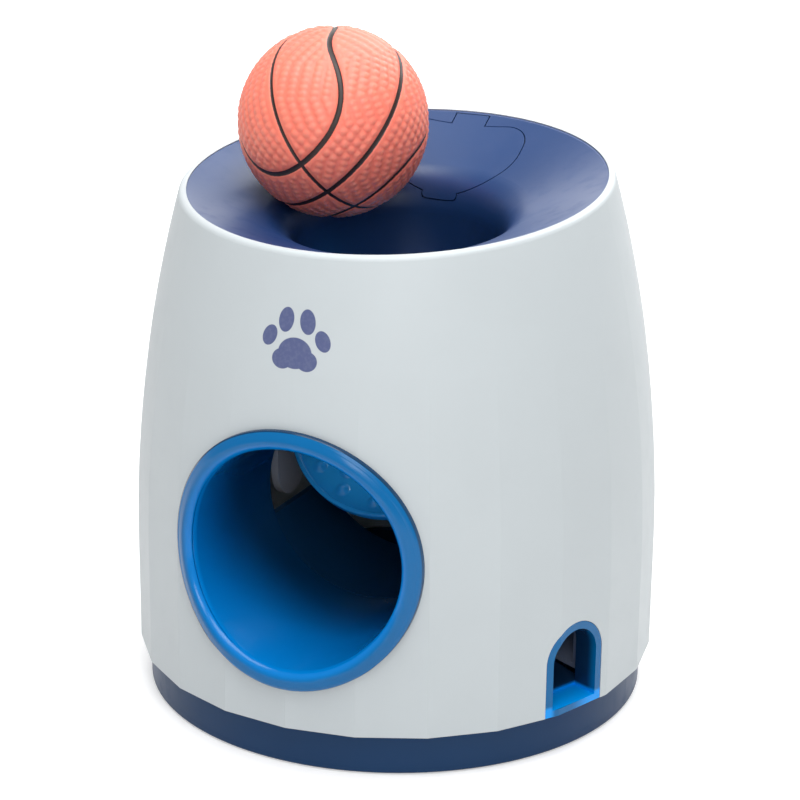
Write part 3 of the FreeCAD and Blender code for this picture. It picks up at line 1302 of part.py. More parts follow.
def make_counterweight_arm(side):
    """Arm behind the axle that carries one counterweight."""
    x0, x1 = sorted((side * ARM_X0, side * ARM_X1))
    y, z = arm_centre()
    corners = [arm_edge_point(False, 0, 0), arm_edge_point(True, 0, 0)]
    run = math.sqrt(ARM_REACH ** 2 - (ARM_CUP_R - ARM_HUB_R) ** 2)
    corners += [arm_edge_point(True, run, 0), arm_edge_point(False, run, 0)]
    web = prism([Vector(x0, p[0], p[1]) for p in corners], Vector(x1 - x0, 0, 0))
    arm = web.fuse(cyl_x(ARM_HUB_R, x0, x1, AXLE_Y, AXLE_Z)).fuse(cyl_x(ARM_CUP_R, x0, x1, y, z))
    arm = arm.cut(cyl_x(AXLE_R + AXLE_GRIP, x0 - CUT_OVER, x1 + CUT_OVER, AXLE_Y, AXLE_Z))
    return arm.cut(cyl_x(SLUG_R + AXLE_GRIP, x0 - CUT_OVER, x1 + CUT_OVER, y, z)).removeSplitter()


def make_counterweight(side):
    """Steel slug pressed into an arm."""
    x0, x1 = sorted((side * ARM_X0, side * ARM_X1))
    y, z = arm_centre()
    slug = cyl_x(SLUG_R, x0, x1, y, z)
    return slug.makeChamfer(SLUG_CHAMFER, [e for e in slug.Edges if e.BoundBox.XLength < 0.01])


def involute_tooth(teeth, centre, middle_deg, x0, x1):
    """One thinned gear tooth with involute flanks, standing on its root circle."""
    pitch_r = GEAR_MODULE * teeth / 2
    base_r = pitch_r * math.cos(math.radians(PRESSURE_DEG))
    tip_r = pitch_r + TOOTH_ADDENDUM * GEAR_MODULE
    root_r = pitch_r - TOOTH_DEDENDUM * GEAR_MODULE
    pitch_half = math.pi / (2 * teeth) - TOOTH_BACKLASH / 2 / pitch_r
    turn = math.tan(math.radians(PRESSURE_DEG)) - math.radians(PRESSURE_DEG)
    flank = []
    start_r = max(base_r, root_r)
    for k in range(FLANK_STEPS + 1):
        r = start_r + (tip_r - start_r) * k / FLANK_STEPS
        press = math.acos(base_r / r)
        flank.append((r, pitch_half + turn - (math.tan(press) - press)))
    flank.insert(0, (root_r - GEAR_MODULE / 2, flank[0][1]))
    middle = math.radians(middle_deg)
    outline = [(r, middle - half) for r, half in flank]
    outline += [(r, middle + half) for r, half in reversed(flank)]
    points = [Vector(x0, centre[0] + r * math.cos(a), centre[1] + r * math.sin(a)) for r, a in outline]
    return prism(points, Vector(x1 - x0, 0, 0))


def wedge(centre, radius, low_deg, high_deg, x0, x1):
    """Pie slice in the YZ plane, extruded along X."""
    points = [Vector(x0, centre[0], centre[1])]
    steps = max(2, int((high_deg - low_deg) / WEDGE_STEP_DEG))
    for k in range(steps + 1):
        a = math.radians(low_deg + (high_deg - low_deg) * k / steps)
        points.append(Vector(x0, centre[0] + radius * math.cos(a), centre[1] + radius * math.sin(a)))
    return prism(points, Vector(x1 - x0, 0, 0))


def make_drive_sector():
    """Toothed sector on the paddle's axle."""
    centre = (AXLE_Y, AXLE_Z)
    root_r = GEAR_MODULE * (SECTOR_TEETH / 2 - TOOTH_DEDENDUM)
    disc = cyl_x(root_r, GEAR_X0, GEAR_X1, *centre)
    sector = disc.common(wedge(centre, 2 * root_r, SECTOR_LOW_DEG, SECTOR_HIGH_DEG, GEAR_X0, GEAR_X1))
    pitch = 360.0 / SECTOR_TEETH
    first = math.ceil((SECTOR_LOW_DEG - GEAR_LINE_DEG - 360) / pitch)
    last = math.floor((SECTOR_HIGH_DEG - GEAR_LINE_DEG - 360) / pitch)
    for k in range(first, last + 1):
        middle = GEAR_LINE_DEG + 360 + k * pitch
        if middle - SECTOR_LOW_DEG > pitch / 3 and SECTOR_HIGH_DEG - middle > pitch / 3:
            sector = sector.fuse(involute_tooth(SECTOR_TEETH, centre, middle, GEAR_X0, GEAR_X1))
    sector = sector.fuse(cyl_x(SECTOR_HUB_R, GEAR_X0, GEAR_X1, *centre))
    x0, x1 = GEAR_X0 - CUT_OVER, GEAR_X1 + CUT_OVER
    hub_rim = cyl_x(SECTOR_HUB_R + SECTOR_HUB_RIM, x0, x1, *centre)
    window = cyl_x(root_r - SECTOR_RIM_T, x0, x1, *centre).cut(hub_rim)
    slice_low, slice_high = SECTOR_LOW_DEG + SECTOR_SPOKE_DEG, SECTOR_HIGH_DEG - SECTOR_SPOKE_DEG
    window = window.common(wedge(centre, 2 * root_r, slice_low, slice_high, x0, x1))
    sector = sector.cut(window)
    return sector.cut(cyl_x(AXLE_R + AXLE_GRIP, x0, x1, *centre)).removeSplitter()


def make_drum_pinion():
    """Small gear on the drum's axle, meshed with the sector at rest."""
    centre = (DRUM_Y, DRUM_Z)
    root_r = GEAR_MODULE * (PINION_TEETH / 2 - TOOTH_DEDENDUM)
    pinion = cyl_x(root_r, GEAR_X0, GEAR_X1, *centre)
    pitch = 360.0 / PINION_TEETH
    for k in range(PINION_TEETH):
        middle = GEAR_LINE_DEG + 180 + (k + 0.5) * pitch
        pinion = pinion.fuse(involute_tooth(PINION_TEETH, centre, middle, GEAR_X0, GEAR_X1))
    bore = cyl_x(DRUM_AXLE_R + AXLE_GRIP, GEAR_X0 - CUT_OVER, GEAR_X1 + CUT_OVER, *centre)
    return pinion.cut(bore).removeSplitter()


def make_dosing_drum():
    """Drum with one scoop, facing up into the hopper at rest."""
    drum = cyl_x(DRUM_R, -DRUM_HALF_L, DRUM_HALF_L, DRUM_Y, DRUM_Z)
    inner_l = DRUM_HALF_L - DRUM_CHEEK_T
    scoop = cyl_x(DRUM_POCKET_R, -inner_l, inner_l, DRUM_Y, DRUM_Z + DRUM_POCKET_OFFSET)
    scoop = scoop.makeFillet(DRUM_POCKET_ROUND, [e for e in scoop.Edges if e.BoundBox.XLength < 0.01])
    drum = drum.cut(scoop)
    for degrees in DRUM_CORE_DEG:
        a = math.radians(degrees)
        y, z = DRUM_Y + DRUM_CORE_PITCH_R * math.cos(a), DRUM_Z + DRUM_CORE_PITCH_R * math.sin(a)
        drum = drum.cut(cyl_x(DRUM_CORE_R, -inner_l, DRUM_HALF_L + CUT_OVER, y, z))
    bore_x = DRUM_HALF_L + CUT_OVER
    return drum.cut(cyl_x(DRUM_AXLE_R + AXLE_GRIP, -bore_x, bore_x, DRUM_Y, DRUM_Z))


def make_drum_axle():
    """Steel axle of the dosing drum."""
    return cyl_x(DRUM_AXLE_R, -HOUSING_HALF_L - DRUM_AXLE_PROUD, GEAR_X1 + DRUM_AXLE_PROUD, DRUM_Y, DRUM_Z)


def cover_screw_places():
    """Places of the cover's screws in the YZ plane."""
    places = []
    for degrees in COVER_SCREW_DEG:
        a = math.radians(degrees)
        r = HOUSING_R + COVER_BOSS_WALL
        places.append((DRUM_Y + r * math.cos(a), DRUM_Z + r * math.sin(a)))
    return places


def hopper_bounds(grow):
    """Mouth and neck rectangles of the hopper's inside, grown by an offset."""
    inset = HOPPER_MOUTH_INSET - grow
    mouth_y = LEDGE_BACK_Y + LEDGE_CLEARANCE + HOPPER_WALL
    mouth = (-LID_HALF_W + inset, LID_HALF_W - inset, mouth_y - grow, LID_BACK_Y - inset)
    half_x, half_y = INLET_HALF_X + grow, INLET_HALF_Y + grow
    neck = (-half_x, half_x, DRUM_Y - half_y, DRUM_Y + half_y)
    return mouth, neck


def hopper_body(grow):
    """Solid of the hopper's inside or outside, from the drum up through the mouth."""
    mouth, neck = hopper_bounds(grow)
    mouth_r, neck_r = HOPPER_MOUTH_ROUND + grow, HOPPER_NECK_ROUND + grow
    low = Part.Face(rectangle(*neck, neck_r, DRUM_Z)).extrude(Vector(0, 0, HOPPER_NECK_Z - DRUM_Z))
    mouth_wire = rectangle(*mouth, mouth_r, HOPPER_MOUTH_Z)
    flare = Part.makeLoft([rectangle(*neck, neck_r, HOPPER_NECK_Z), mouth_wire], True, True)
    high = Part.Face(mouth_wire).extrude(Vector(0, 0, CEILING_Z - HOPPER_MOUTH_Z))
    return low.fuse(flare).fuse(high)


def hopper_flange():
    """Flange of the hopper's mouth, close under the funnel's skin."""
    mouth, _ = hopper_bounds(HOPPER_FLANGE_W)
    plan = Part.Face(rectangle(mouth[0], mouth[1], LEDGE_BACK_Y + LEDGE_CLEARANCE, mouth[3], HOPPER_WALL,
                               HOPPER_MOUTH_Z))
    seat = FUNNEL_SKIN + HOPPER_SEAT_GAP
    low = ROLL_CENTRE_DEPTH + HOPPER_FLANGE_T
    return funnel_layer(seat, seat + HOPPER_FLANGE_T, low).common(
        plan.extrude(Vector(0, 0, CEILING_Z - HOPPER_MOUTH_Z)))


def hopper_ear(side):
    """Screw ear beside the hopper's mouth."""
    e0, e1 = sorted((side * (LID_HALF_W - HOPPER_MOUTH_INSET + HOPPER_WALL / 2), side * HOPPER_EAR_X))
    low = HOPPER_EAR_Z - HOPPER_EAR_T
    ear = block(e0, e1, HOPPER_EAR_Y - HOPPER_EAR_R, HOPPER_EAR_Y + HOPPER_EAR_R, low, HOPPER_EAR_Z)
    return ear.fuse(cyl_z(HOPPER_EAR_R, low, HOPPER_EAR_Z, side * HOPPER_EAR_X, HOPPER_EAR_Y))


def make_treat_hopper():
    """Hopper under the hatch, in one piece with the drum's housing."""
    wall_room = turned_body(-FUNNEL_FIT - SKIRT_WALL - PART_GAP, True, BODY_Z0, CEILING_Z)
    seat = funnel_void(FUNNEL_SKIN + HOPPER_SEAT_GAP, ROLL_CENTRE_DEPTH + HOPPER_FLANGE_T)
    body = hopper_body(HOPPER_WALL).cut(seat).fuse(hopper_flange()).common(wall_room)
    for side in (-1, 1):
        boss = cyl_z(HOPPER_BOSS_R + PART_GAP, HOPPER_EAR_Z, CEILING_Z, side * HOPPER_EAR_X, HOPPER_EAR_Y)
        hole = cyl_z(SCREW_R + BORE_GAP, HOPPER_EAR_Z - 2 * HOPPER_EAR_T, CEILING_Z, side * HOPPER_EAR_X,
                     HOPPER_EAR_Y)
        body = body.cut(boss).fuse(hopper_ear(side)).cut(hole)
    room_x = KNUCKLE_HALF_W + 2 * HINGE_GAP + HINGE_LUG_W + PART_GAP
    room_y = HINGE_Y - KNUCKLE_R - HINGE_GAP
    body = body.cut(block(-room_x, room_x, room_y, CEILING_Z, HOPPER_MOUTH_Z, CEILING_Z))
    body = body.fuse(cyl_x(HOUSING_R, -HOUSING_HALF_L, HOUSING_HALF_L, DRUM_Y, DRUM_Z))
    boss_x = HOUSING_HALF_L - COVER_BOSS_L
    for y, z in cover_screw_places():
        body = body.fuse(cyl_x(COVER_SCREW_R + COVER_BOSS_WALL, boss_x, HOUSING_HALF_L, y, z))
    body = body.cut(hopper_body(0))
    inner_x = -HOUSING_HALF_L + HOUSING_WALL
    body = body.cut(cyl_x(HOUSING_IN_R, inner_x, HOUSING_HALF_L + CUT_OVER, DRUM_Y, DRUM_Z))
    drop = wedge((DRUM_Y, DRUM_Z), 2 * HOUSING_R, DROP_LOW_DEG, DROP_HIGH_DEG, -INLET_HALF_X, INLET_HALF_X)
    body = body.cut(drop)
    body = body.cut(cyl_x(DRUM_AXLE_R + AXLE_PLAY, -HOUSING_HALF_L - CUT_OVER, 0, DRUM_Y, DRUM_Z))
    bore_x = HOUSING_HALF_L - COVER_SCREW_BITE - CUT_OVER
    for y, z in cover_screw_places():
        body = body.cut(cyl_x(COVER_SCREW_R + BORE_GAP, bore_x, HOUSING_HALF_L + CUT_OVER, y, z))
    return body.removeSplitter()


def make_hopper_screws():
    """Screws that hold the hopper's ears up to the funnel."""
    screws = []
    for side in (-1, 1):
        screws.append(pan_screw(side * HOPPER_EAR_X, HOPPER_EAR_Y, HOPPER_EAR_Z - HOPPER_EAR_T,
                                HOPPER_EAR_T + HOPPER_BITE - CUT_OVER, UP))
    return Part.makeCompound(screws)


def make_drum_cover():
    """Side plate that closes the drum's housing."""
    x0, x1 = HOUSING_HALF_L, HOUSING_HALF_L + COVER_T
    cover = cyl_x(HOUSING_R, x0, x1, DRUM_Y, DRUM_Z)
    for y, z in cover_screw_places():
        cover = cover.fuse(cyl_x(COVER_SCREW_R + COVER_BOSS_WALL, x0, x1, y, z))
    for y, z in cover_screw_places():
        cover = cover.cut(cyl_x(COVER_SCREW_R + BORE_GAP, x0 - CUT_OVER, x1 + CUT_OVER, y, z))
    bore = cyl_x(DRUM_AXLE_R + AXLE_PLAY, x0 - CUT_OVER, x1 + CUT_OVER, DRUM_Y, DRUM_Z)
    return cover.cut(bore).removeSplitter()


def make_drum_cover_screws():
    """Small screws of the drum's cover."""
    screws = []
    x0 = HOUSING_HALF_L + COVER_T
    for y, z in cover_screw_places():
        shank = cyl_x(COVER_SCREW_R, x0 - COVER_T - COVER_SCREW_BITE, x0, y, z)
        head = cyl_x(COVER_SCREW_HEAD_R, x0, x0 + COVER_SCREW_HEAD_T, y, z)
        screws.append(shank.fuse(head).removeSplitter())
    return Part.makeCompound(screws)


def make_ball():
    """Soft ball that the dog drops into the funnel."""
    return Part.makeSphere(BALL_R, Vector(BALL_X, BALL_Y, BALL_Z))


NODES = {
    "outer_shell": make_outer_shell,
    "base_plate": make_base_plate,
    "base_screws": make_base_screws,
    "non_slip_feet": make_non_slip_feet,
    "funnel_top": make_funnel_top,
    "funnel_screws": make_funnel_screws,
    "treat_lid": make_treat_lid,
    "lid_hinge_pin": make_lid_hinge_pin,
    "exit_tunnel": make_exit_tunnel,
    "tunnel_ring": make_tunnel_ring,
    "treat_outlet": make_treat_outlet,
    "treat_chute": make_treat_chute,
    "ball_ramp": make_ball_ramp,
    "ramp_screws": make_ramp_screws,
    "side_guard_left": lambda: make_side_guard(-1),
    "side_guard_right": lambda: make_side_guard(1),
    "guard_screws": make_guard_screws,
    "axle_bush_left": lambda: make_axle_bush(-1),
    "axle_bush_right": lambda: make_axle_bush(1),
    "stop_bumpers": make_stop_bumpers,
    "trigger_paddle": make_trigger_paddle,
    "paddle_axle": make_paddle_axle,
    "axle_clips": make_axle_clips,
    "counterweight_arm_left": lambda: make_counterweight_arm(-1),
    "counterweight_arm_right": lambda: make_counterweight_arm(1),
    "counterweight_left": lambda: make_counterweight(-1),
    "counterweight_right": lambda: make_counterweight(1),
    "drive_sector": make_drive_sector,
    "drum_pinion": make_drum_pinion,
    "dosing_drum": make_dosing_drum,
    "drum_axle": make_drum_axle,
    "treat_hopper": make_treat_hopper,
    "hopper_screws": make_hopper_screws,
    "drum_cover": make_drum_cover,
    "drum_cover_screws": make_drum_cover_screws,
    "ball": make_ball,
}


def main():
    """Build every piece and write one STEP file for each."""
    os.makedirs("parts", exist_ok=True)
    for name, make in NODES.items():
        shape = make()
        print(name, "solids", len(shape.Solids), "valid", shape.isValid(), "volume", round(shape.Volume, 1))
        shape.exportStep("parts/" + name + ".step")


if __name__ == "__main__":
    main()
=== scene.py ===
"""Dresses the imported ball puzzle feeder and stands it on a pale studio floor.

Lengths in the classes are in millimetres, and MM turns them into the metres of the frame.
"""

import logging
import math
from dataclasses import dataclass
from enum import Enum

import bpy
import numpy as np
from mathutils import Matrix, Vector


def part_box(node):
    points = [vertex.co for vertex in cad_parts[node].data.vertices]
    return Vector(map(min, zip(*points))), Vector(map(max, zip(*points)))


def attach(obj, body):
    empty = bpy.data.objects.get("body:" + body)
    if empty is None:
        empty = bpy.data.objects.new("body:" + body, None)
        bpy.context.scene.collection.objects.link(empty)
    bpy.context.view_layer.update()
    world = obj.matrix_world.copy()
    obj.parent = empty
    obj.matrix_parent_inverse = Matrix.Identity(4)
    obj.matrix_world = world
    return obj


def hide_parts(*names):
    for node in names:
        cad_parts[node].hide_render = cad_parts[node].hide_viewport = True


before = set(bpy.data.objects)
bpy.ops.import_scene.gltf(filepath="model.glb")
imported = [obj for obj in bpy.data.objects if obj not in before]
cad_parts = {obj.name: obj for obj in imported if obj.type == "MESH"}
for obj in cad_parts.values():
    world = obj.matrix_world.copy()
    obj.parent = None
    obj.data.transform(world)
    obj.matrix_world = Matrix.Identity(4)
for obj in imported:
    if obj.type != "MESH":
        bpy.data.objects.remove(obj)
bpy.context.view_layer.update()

MM = 0.001
LOG = logging.getLogger("scene")
TUNNEL_AXIS_Z = 68.6
NOISE_SPAN = (0.3, 0.7)

Pair = tuple[float, float]
Triple = tuple[float, float, float]
Colour = Triple
Socket = bpy.types.NodeSocket


class Polish(Enum):
    """Roughness of a moulded or turned surface."""

    GLOSS = 0.17
    SATIN = 0.36
    SOFT = 0.45


class Graph:
    """Adds nodes to one node tree and links them."""

    def __init__(self, tree: bpy.types.NodeTree) -> None:
        """Start from an empty tree.

        Args:
            tree: Tree of a material or of the world.
        """
        self.tree = tree
        self.tree.nodes.clear()

    def node(self, kind: str, **settings: object) -> bpy.types.Node:
        """Add a node.

        Args:
            kind: Blender's identifier of the node.
            settings: Properties to set on it.

        Returns:
            The new node.
        """
        made = self.tree.nodes.new(kind)
        for key, value in settings.items():
            setattr(made, key, value)
        return made

    def link(self, source: Socket, target: Socket) -> None:
        """Link two sockets."""
        self.tree.links.new(source, target)

    def feed(self, target: Socket, value: object) -> None:
        """Set a socket to a plain value, or link it to another socket.

        Args:
            target: Input socket.
            value: Number, colour or output socket.
        """
        if isinstance(value, bpy.types.NodeSocket):
            self.link(value, target)
        elif isinstance(value, tuple) and len(value) == 3 and target.type == "RGBA":
            target.default_value = (*value, 1.0)
        else:
            target.default_value = value

    def place(self) -> Socket:
        """Object coordinates, in metres."""
        return self.node("ShaderNodeTexCoord").outputs["Object"]

    def math(self, operation: str, *values: object, clamp: bool = False) -> Socket:
        """Add a Math node.

        Args:
            operation: Blender's name of the operation.
            values: Numbers or sockets to feed it.
            clamp: Whether the result is kept between 0 and 1.

        Returns:
            The result.
        """
        made = self.node("ShaderNodeMath", operation=operation, use_clamp=clamp)
        for k, value in enumerate(values):
            self.feed(made.inputs[k], value)
        return made.outputs[0]

    def axes(self) -> tuple[Socket, Socket, Socket]:
        """The three Object coordinates in millimetres."""
        scaled = self.node("ShaderNodeVectorMath", operation="SCALE")
        self.link(self.place(), scaled.inputs[0])
        scaled.inputs["Scale"].default_value = 1.0 / MM
        split = self.node("ShaderNodeSeparateXYZ")
        self.link(scaled.outputs[0], split.inputs[0])
        return tuple(split.outputs)

    def span(self, first: Socket, second: Socket) -> Socket:
        """Root of the sum of two squares."""
        return self.math("SQRT", self.blend(first, first, second, second))

    def blend(self, first: Socket, by: object, second: Socket, with_: object) -> Socket:
        """First value times its factor plus second value times its own.

        Args:
            first: First value.
            by: Factor of the first value.
            second: Second value.
            with_: Factor of the second value.

        Returns:
            The sum of both products.
        """
        return self.math("ADD", self.math("MULTIPLY", first, by), self.math("MULTIPLY", second, with_))

    def ramp(self, value: Socket, low: float, high: float, start: float, end: float) -> Socket:
        """Smooth step of a value between two limits.

        Args:
            value: Value to map.
            low: Value at which the result starts to change.
            high: Value at which it ends.
            start: Result at and below low.
            end: Result at and above high.

        Returns:
            The mapped value.
        """
        made = self.node("ShaderNodeMapRange", interpolation_type="SMOOTHSTEP")
        for k, number in enumerate((value, low, high, start, end)):
            self.feed(made.inputs[k], number)
        return made.outputs[0]

    def noise(self, scale: float, detail: float = 2.0, where: Socket | None = None) -> Socket:
        """Noise over the object.

        Args:
            scale: Cells per metre.
            detail: Number of octaves.
            where: Coordinates, or None for Object coordinates.

        Returns:
            Noise between 0 and 1.
        """
        made = self.node("ShaderNodeTexNoise")
        self.feed(made.inputs["Vector"], where or self.place())
        self.feed(made.inputs["Scale"], scale)
        self.feed(made.inputs["Detail"], detail)
        return made.outputs[0]

    def mix(self, share: object, first: object, second: object) -> Socket:
        """Mix two colours.

        Args:
            share: Share of the second colour.
            first: Colour at 0.
            second: Colour at 1.

        Returns:
            The mixed colour.
        """
        made = self.node("ShaderNodeMix", data_type="RGBA")
        self.feed(made.inputs["Factor"], share)
        colour_inputs = [s for s in made.inputs if s.type == "RGBA"]
        self.feed(colour_inputs[0], first)
        self.feed(colour_inputs[1], second)
        return [s for s in made.outputs if s.type == "RGBA"][0]

    def bump(self, height: Socket, depth: float) -> Socket:
        """Bump from a height between 0 and 1.

        Args:
            height: Height pattern.
            depth: Height of the pattern in metres.

        Returns:
            The bumped normal.
        """
        made = self.node("ShaderNodeBump")
        made.inputs["Strength"].default_value = 1.0
        made.inputs["Distance"].default_value = depth
        self.link(height, made.inputs["Height"])
        return made.outputs[0]


class MaterialGraph(Graph):
    """Graph of one material with a Principled shader."""

    def __init__(self, name: str) -> None:
        """Start the material.

        Args:
            name: Name of the material.
        """
        self.material = bpy.data.materials.new(name)
        self.material.use_nodes = True
        super().__init__(self.material.node_tree)
        output = self.node("ShaderNodeOutputMaterial")
        self.shader = self.node("ShaderNodeBsdfPrincipled")
        self.link(self.shader.outputs["BSDF"], output.inputs["Surface"])

    def finish(
        self, colour: Socket, roughness: Socket, normal: Socket | None = None, specular: float = 0.5
    ) -> bpy.types.Material:
        """Feed the shader and hand the material over.

        Args:
            colour: Base colour.
            roughness: Roughness.
            normal: Bumped normal, or None for a smooth surface.
            specular: Strength of the reflection, 0.5 being a common plastic.

        Returns:
            The material.
        """
        self.link(colour, self.shader.inputs["Base Color"])
        self.link(roughness, self.shader.inputs["Roughness"])
        self.shader.inputs["Specular IOR Level"].default_value = specular
        if normal is not None:
            self.link(normal, self.shader.inputs["Normal"])
        return self.material


@dataclass(frozen=True)
class Plastic:
    """Moulded plastic: slow blotches of flow, a fine mould grain and a few rubbed spots.

    The blotches darken the colour and the rubbed spots change the roughness. Noise scales are
    in cells per metre, and a noise range says from which noise to which a pattern grows.
    """

    name: str
    colour: Colour
    polish: Polish = Polish.SATIN
    blotch: float = 0.06
    grain_depth: float = 0.004
    grain_pitch: float = 0.45
    rubbed: float = 0.07
    specular: float = 0.5
    blotch_scale: float = 22.0
    blotch_range: Pair = (0.35, 0.7)
    wear_scale: float = 160.0
    wear_range: Pair = (0.45, 0.75)

    def tone(self, graph: Graph) -> Socket:
        """Base colour with its slow blotches.

        Args:
            graph: Graph to add to.

        Returns:
            The colour.
        """
        share = graph.ramp(graph.noise(self.blotch_scale, 3.0), *self.blotch_range, 0.0, 1.0)
        dark = tuple(c * (1.0 - self.blotch) for c in self.colour)
        return graph.mix(share, self.colour, dark)

    def build(self) -> bpy.types.Material:
        """The finished material."""
        graph = MaterialGraph(self.name)
        base = self.polish.value
        wear = graph.ramp(graph.noise(self.wear_scale, 4.0), *self.wear_range, base, base + self.rubbed)
        grain = graph.noise(1.0 / (self.grain_pitch * MM), 1.0)
        normal = graph.bump(grain, self.grain_depth * MM)
        return graph.finish(self.tone(graph), wear, normal, self.specular)


@dataclass(frozen=True)
class PrintedPlastic(Plastic):
    """The shell's plastic, with a plain paw print in ink on its front.

    Every pad of the print is an ellipse on the unrolled wall: the arc along the wall from the
    front, and the height over the print's middle, each over a half axis, squared and added,
    stay under one. A pad is that ellipse's middle along the arc and in height, its two half
    axes, and its lean in degrees.
    """

    ink: Colour = (0.084, 0.104, 0.232)
    wall_radius: float = 76.5
    middle_z: float = 136.5
    pads: tuple[tuple[float, float, float, float, float], ...] = (
        (0.0, -3.6, 5.4, 4.6, 0.0),
        (-3.9, -5.6, 3.3, 3.0, 0.0),
        (3.9, -5.6, 3.3, 3.0, 0.0),
        (-8.6, 0.7, 2.3, 3.2, 24.0),
        (8.6, 0.7, 2.3, 3.2, -24.0),
        (-3.5, 5.9, 2.5, 3.7, 8.0),
        (3.5, 5.9, 2.5, 3.7, -8.0),
    )
    pad_edge: Pair = (0.95, 1.05)
    speck_scale: float = 900.0
    speck_range: Pair = (0.3, 0.6)
    speck_ink: float = 0.95

    def print_mask(self, graph: Graph) -> Socket:
        """Where the ink lies.

        Args:
            graph: Graph to add to.

        Returns:
            1 on the print and 0 beside it.
        """
        x, y, z = graph.axes()
        back = graph.math("MULTIPLY", y, -1.0)
        arc = graph.math("MULTIPLY", graph.math("ARCTAN2", x, back), self.wall_radius)
        rise = graph.math("SUBTRACT", z, self.middle_z)
        cover: Socket | None = None
        for u, v, half_u, half_v, lean in self.pads:
            cos, sin = math.cos(math.radians(lean)), math.sin(math.radians(lean))
            du, dv = graph.math("SUBTRACT", arc, u), graph.math("SUBTRACT", rise, v)
            along = graph.blend(du, cos / half_u, dv, -sin / half_u)
            across = graph.blend(du, sin / half_v, dv, cos / half_v)
            size = graph.blend(along, along, across, across)
            pad = graph.ramp(size, *self.pad_edge, 1.0, 0.0)
            cover = pad if cover is None else graph.math("MAXIMUM", cover, pad)
        return cover

    def tone(self, graph: Graph) -> Socket:
        """Colour of the plastic, with the ink over it.

        Args:
            graph: Graph to add to.

        Returns:
            The colour.
        """
        speck = graph.ramp(graph.noise(self.speck_scale), *self.speck_range, self.speck_ink, 1.0)
        share = graph.math("MULTIPLY", self.print_mask(graph), speck)
        return graph.mix(share, super().tone(graph), self.ink)


@dataclass(frozen=True)
class PaintedLightAndShadePlastic(Plastic):
    """Plastic with painted shade: a darker colour painted where shade falls, in recesses and at joints.

    Just inside a mouth a brighter colour is painted light, where light falls in there.
    """

    # The first colour is painted shade; the inner colour is painted light just inside a mouth.
    painted_shade: Colour = (0.002, 0.012, 0.03)
    inner: Colour = (0.0, 0.2, 0.6)

    def depth(self, graph: Graph) -> Socket:
        """Share of the painted shade colour, from 0 in the open to 1 in the recess."""
        raise NotImplementedError

    def inside(self, graph: Graph) -> object:
        """Share of the inner colour, painted light, under the painted shade, from 0 outside to 1 inside the
        mouth.
        """
        return 0.0

    def tone(self, graph: Graph) -> Socket:
        """Base colour, with the inner colour as painted light and the painted shade colour over it.

        Args:
            graph: Graph to add to.

        Returns:
            The colour.
        """
        open_tone = graph.mix(self.inside(graph), super().tone(graph), self.inner)
        return graph.mix(self.depth(graph), open_tone, self.painted_shade)


@dataclass(frozen=True)
class TunnelPlastic(PaintedLightAndShadePlastic):
    """Tunnel: painted light just inside the mouth, painted shade growing along the bore, and a thin
    line of painted shadow where the bead meets the shell.

    The two edges say how far outside the bore's radius the inner colour, which is painted light,
    and the bore's share of the painted shade start to fade, and where they end.
    """

    axis_z: float = TUNNEL_AXIS_Z
    bore_radius: float = 35.0
    bead_radius: float = 41.3
    inner_edge: Pair = (0.8, 3.2)
    bore_edge: Pair = (0.6, 2.0)
    # Painted shade along the bore, growing from the open depth to the dark depth.
    rise_share: float = 0.5
    open_depth: float = -46.0
    dark_depth: float = -6.0
    bore_share: float = 0.8
    # A thin line of painted shadow where the bead meets the shell, narrower on the +X side.
    line_width: float = 0.3
    line_blur: float = 0.1
    line_share: float = 0.8
    line_lean: float = 0.006

    def radius(self, graph: Graph) -> Socket:
        """Distance from the tunnel's axis."""
        x, _, z = graph.axes()
        return graph.span(x, graph.math("SUBTRACT", z, self.axis_z))

    def inside(self, graph: Graph) -> Socket:
        """1 in the bore, where the inner colour is painted light, and 0 on the bead's face."""
        start, end = (self.bore_radius + step for step in self.inner_edge)
        return graph.ramp(self.radius(graph), start, end, 1.0, 0.0)

    def depth(self, graph: Graph) -> Socket:
        """Share of the painted shade colour.

        The bore's painted shade grows with the depth, which is Y plus a share of the height, because
        the light falls in from above. The painted shadow line's share starts further out on the +X side.

        Args:
            graph: Graph to add to.

        Returns:
            The larger of the bore's share and the line's.
        """
        x, y, z = graph.axes()
        radius = self.radius(graph)
        start, end = (self.bore_radius + step for step in self.bore_edge)
        bore = graph.ramp(radius, start, end, 1.0, 0.0)
        way = graph.math("MULTIPLY_ADD", z, self.rise_share, y)
        inwards = graph.ramp(way, self.open_depth, self.dark_depth, 0.0, self.bore_share)
        # Painted shadow line at the bead's root.
        leaned = graph.math("MULTIPLY_ADD", x, -self.line_lean, radius)
        edge = self.bead_radius - self.line_width
        line = graph.ramp(leaned, edge - self.line_blur, edge + self.line_blur, 0.0, self.line_share)
        return graph.math("MAXIMUM", graph.math("MULTIPLY", bore, inwards), line)


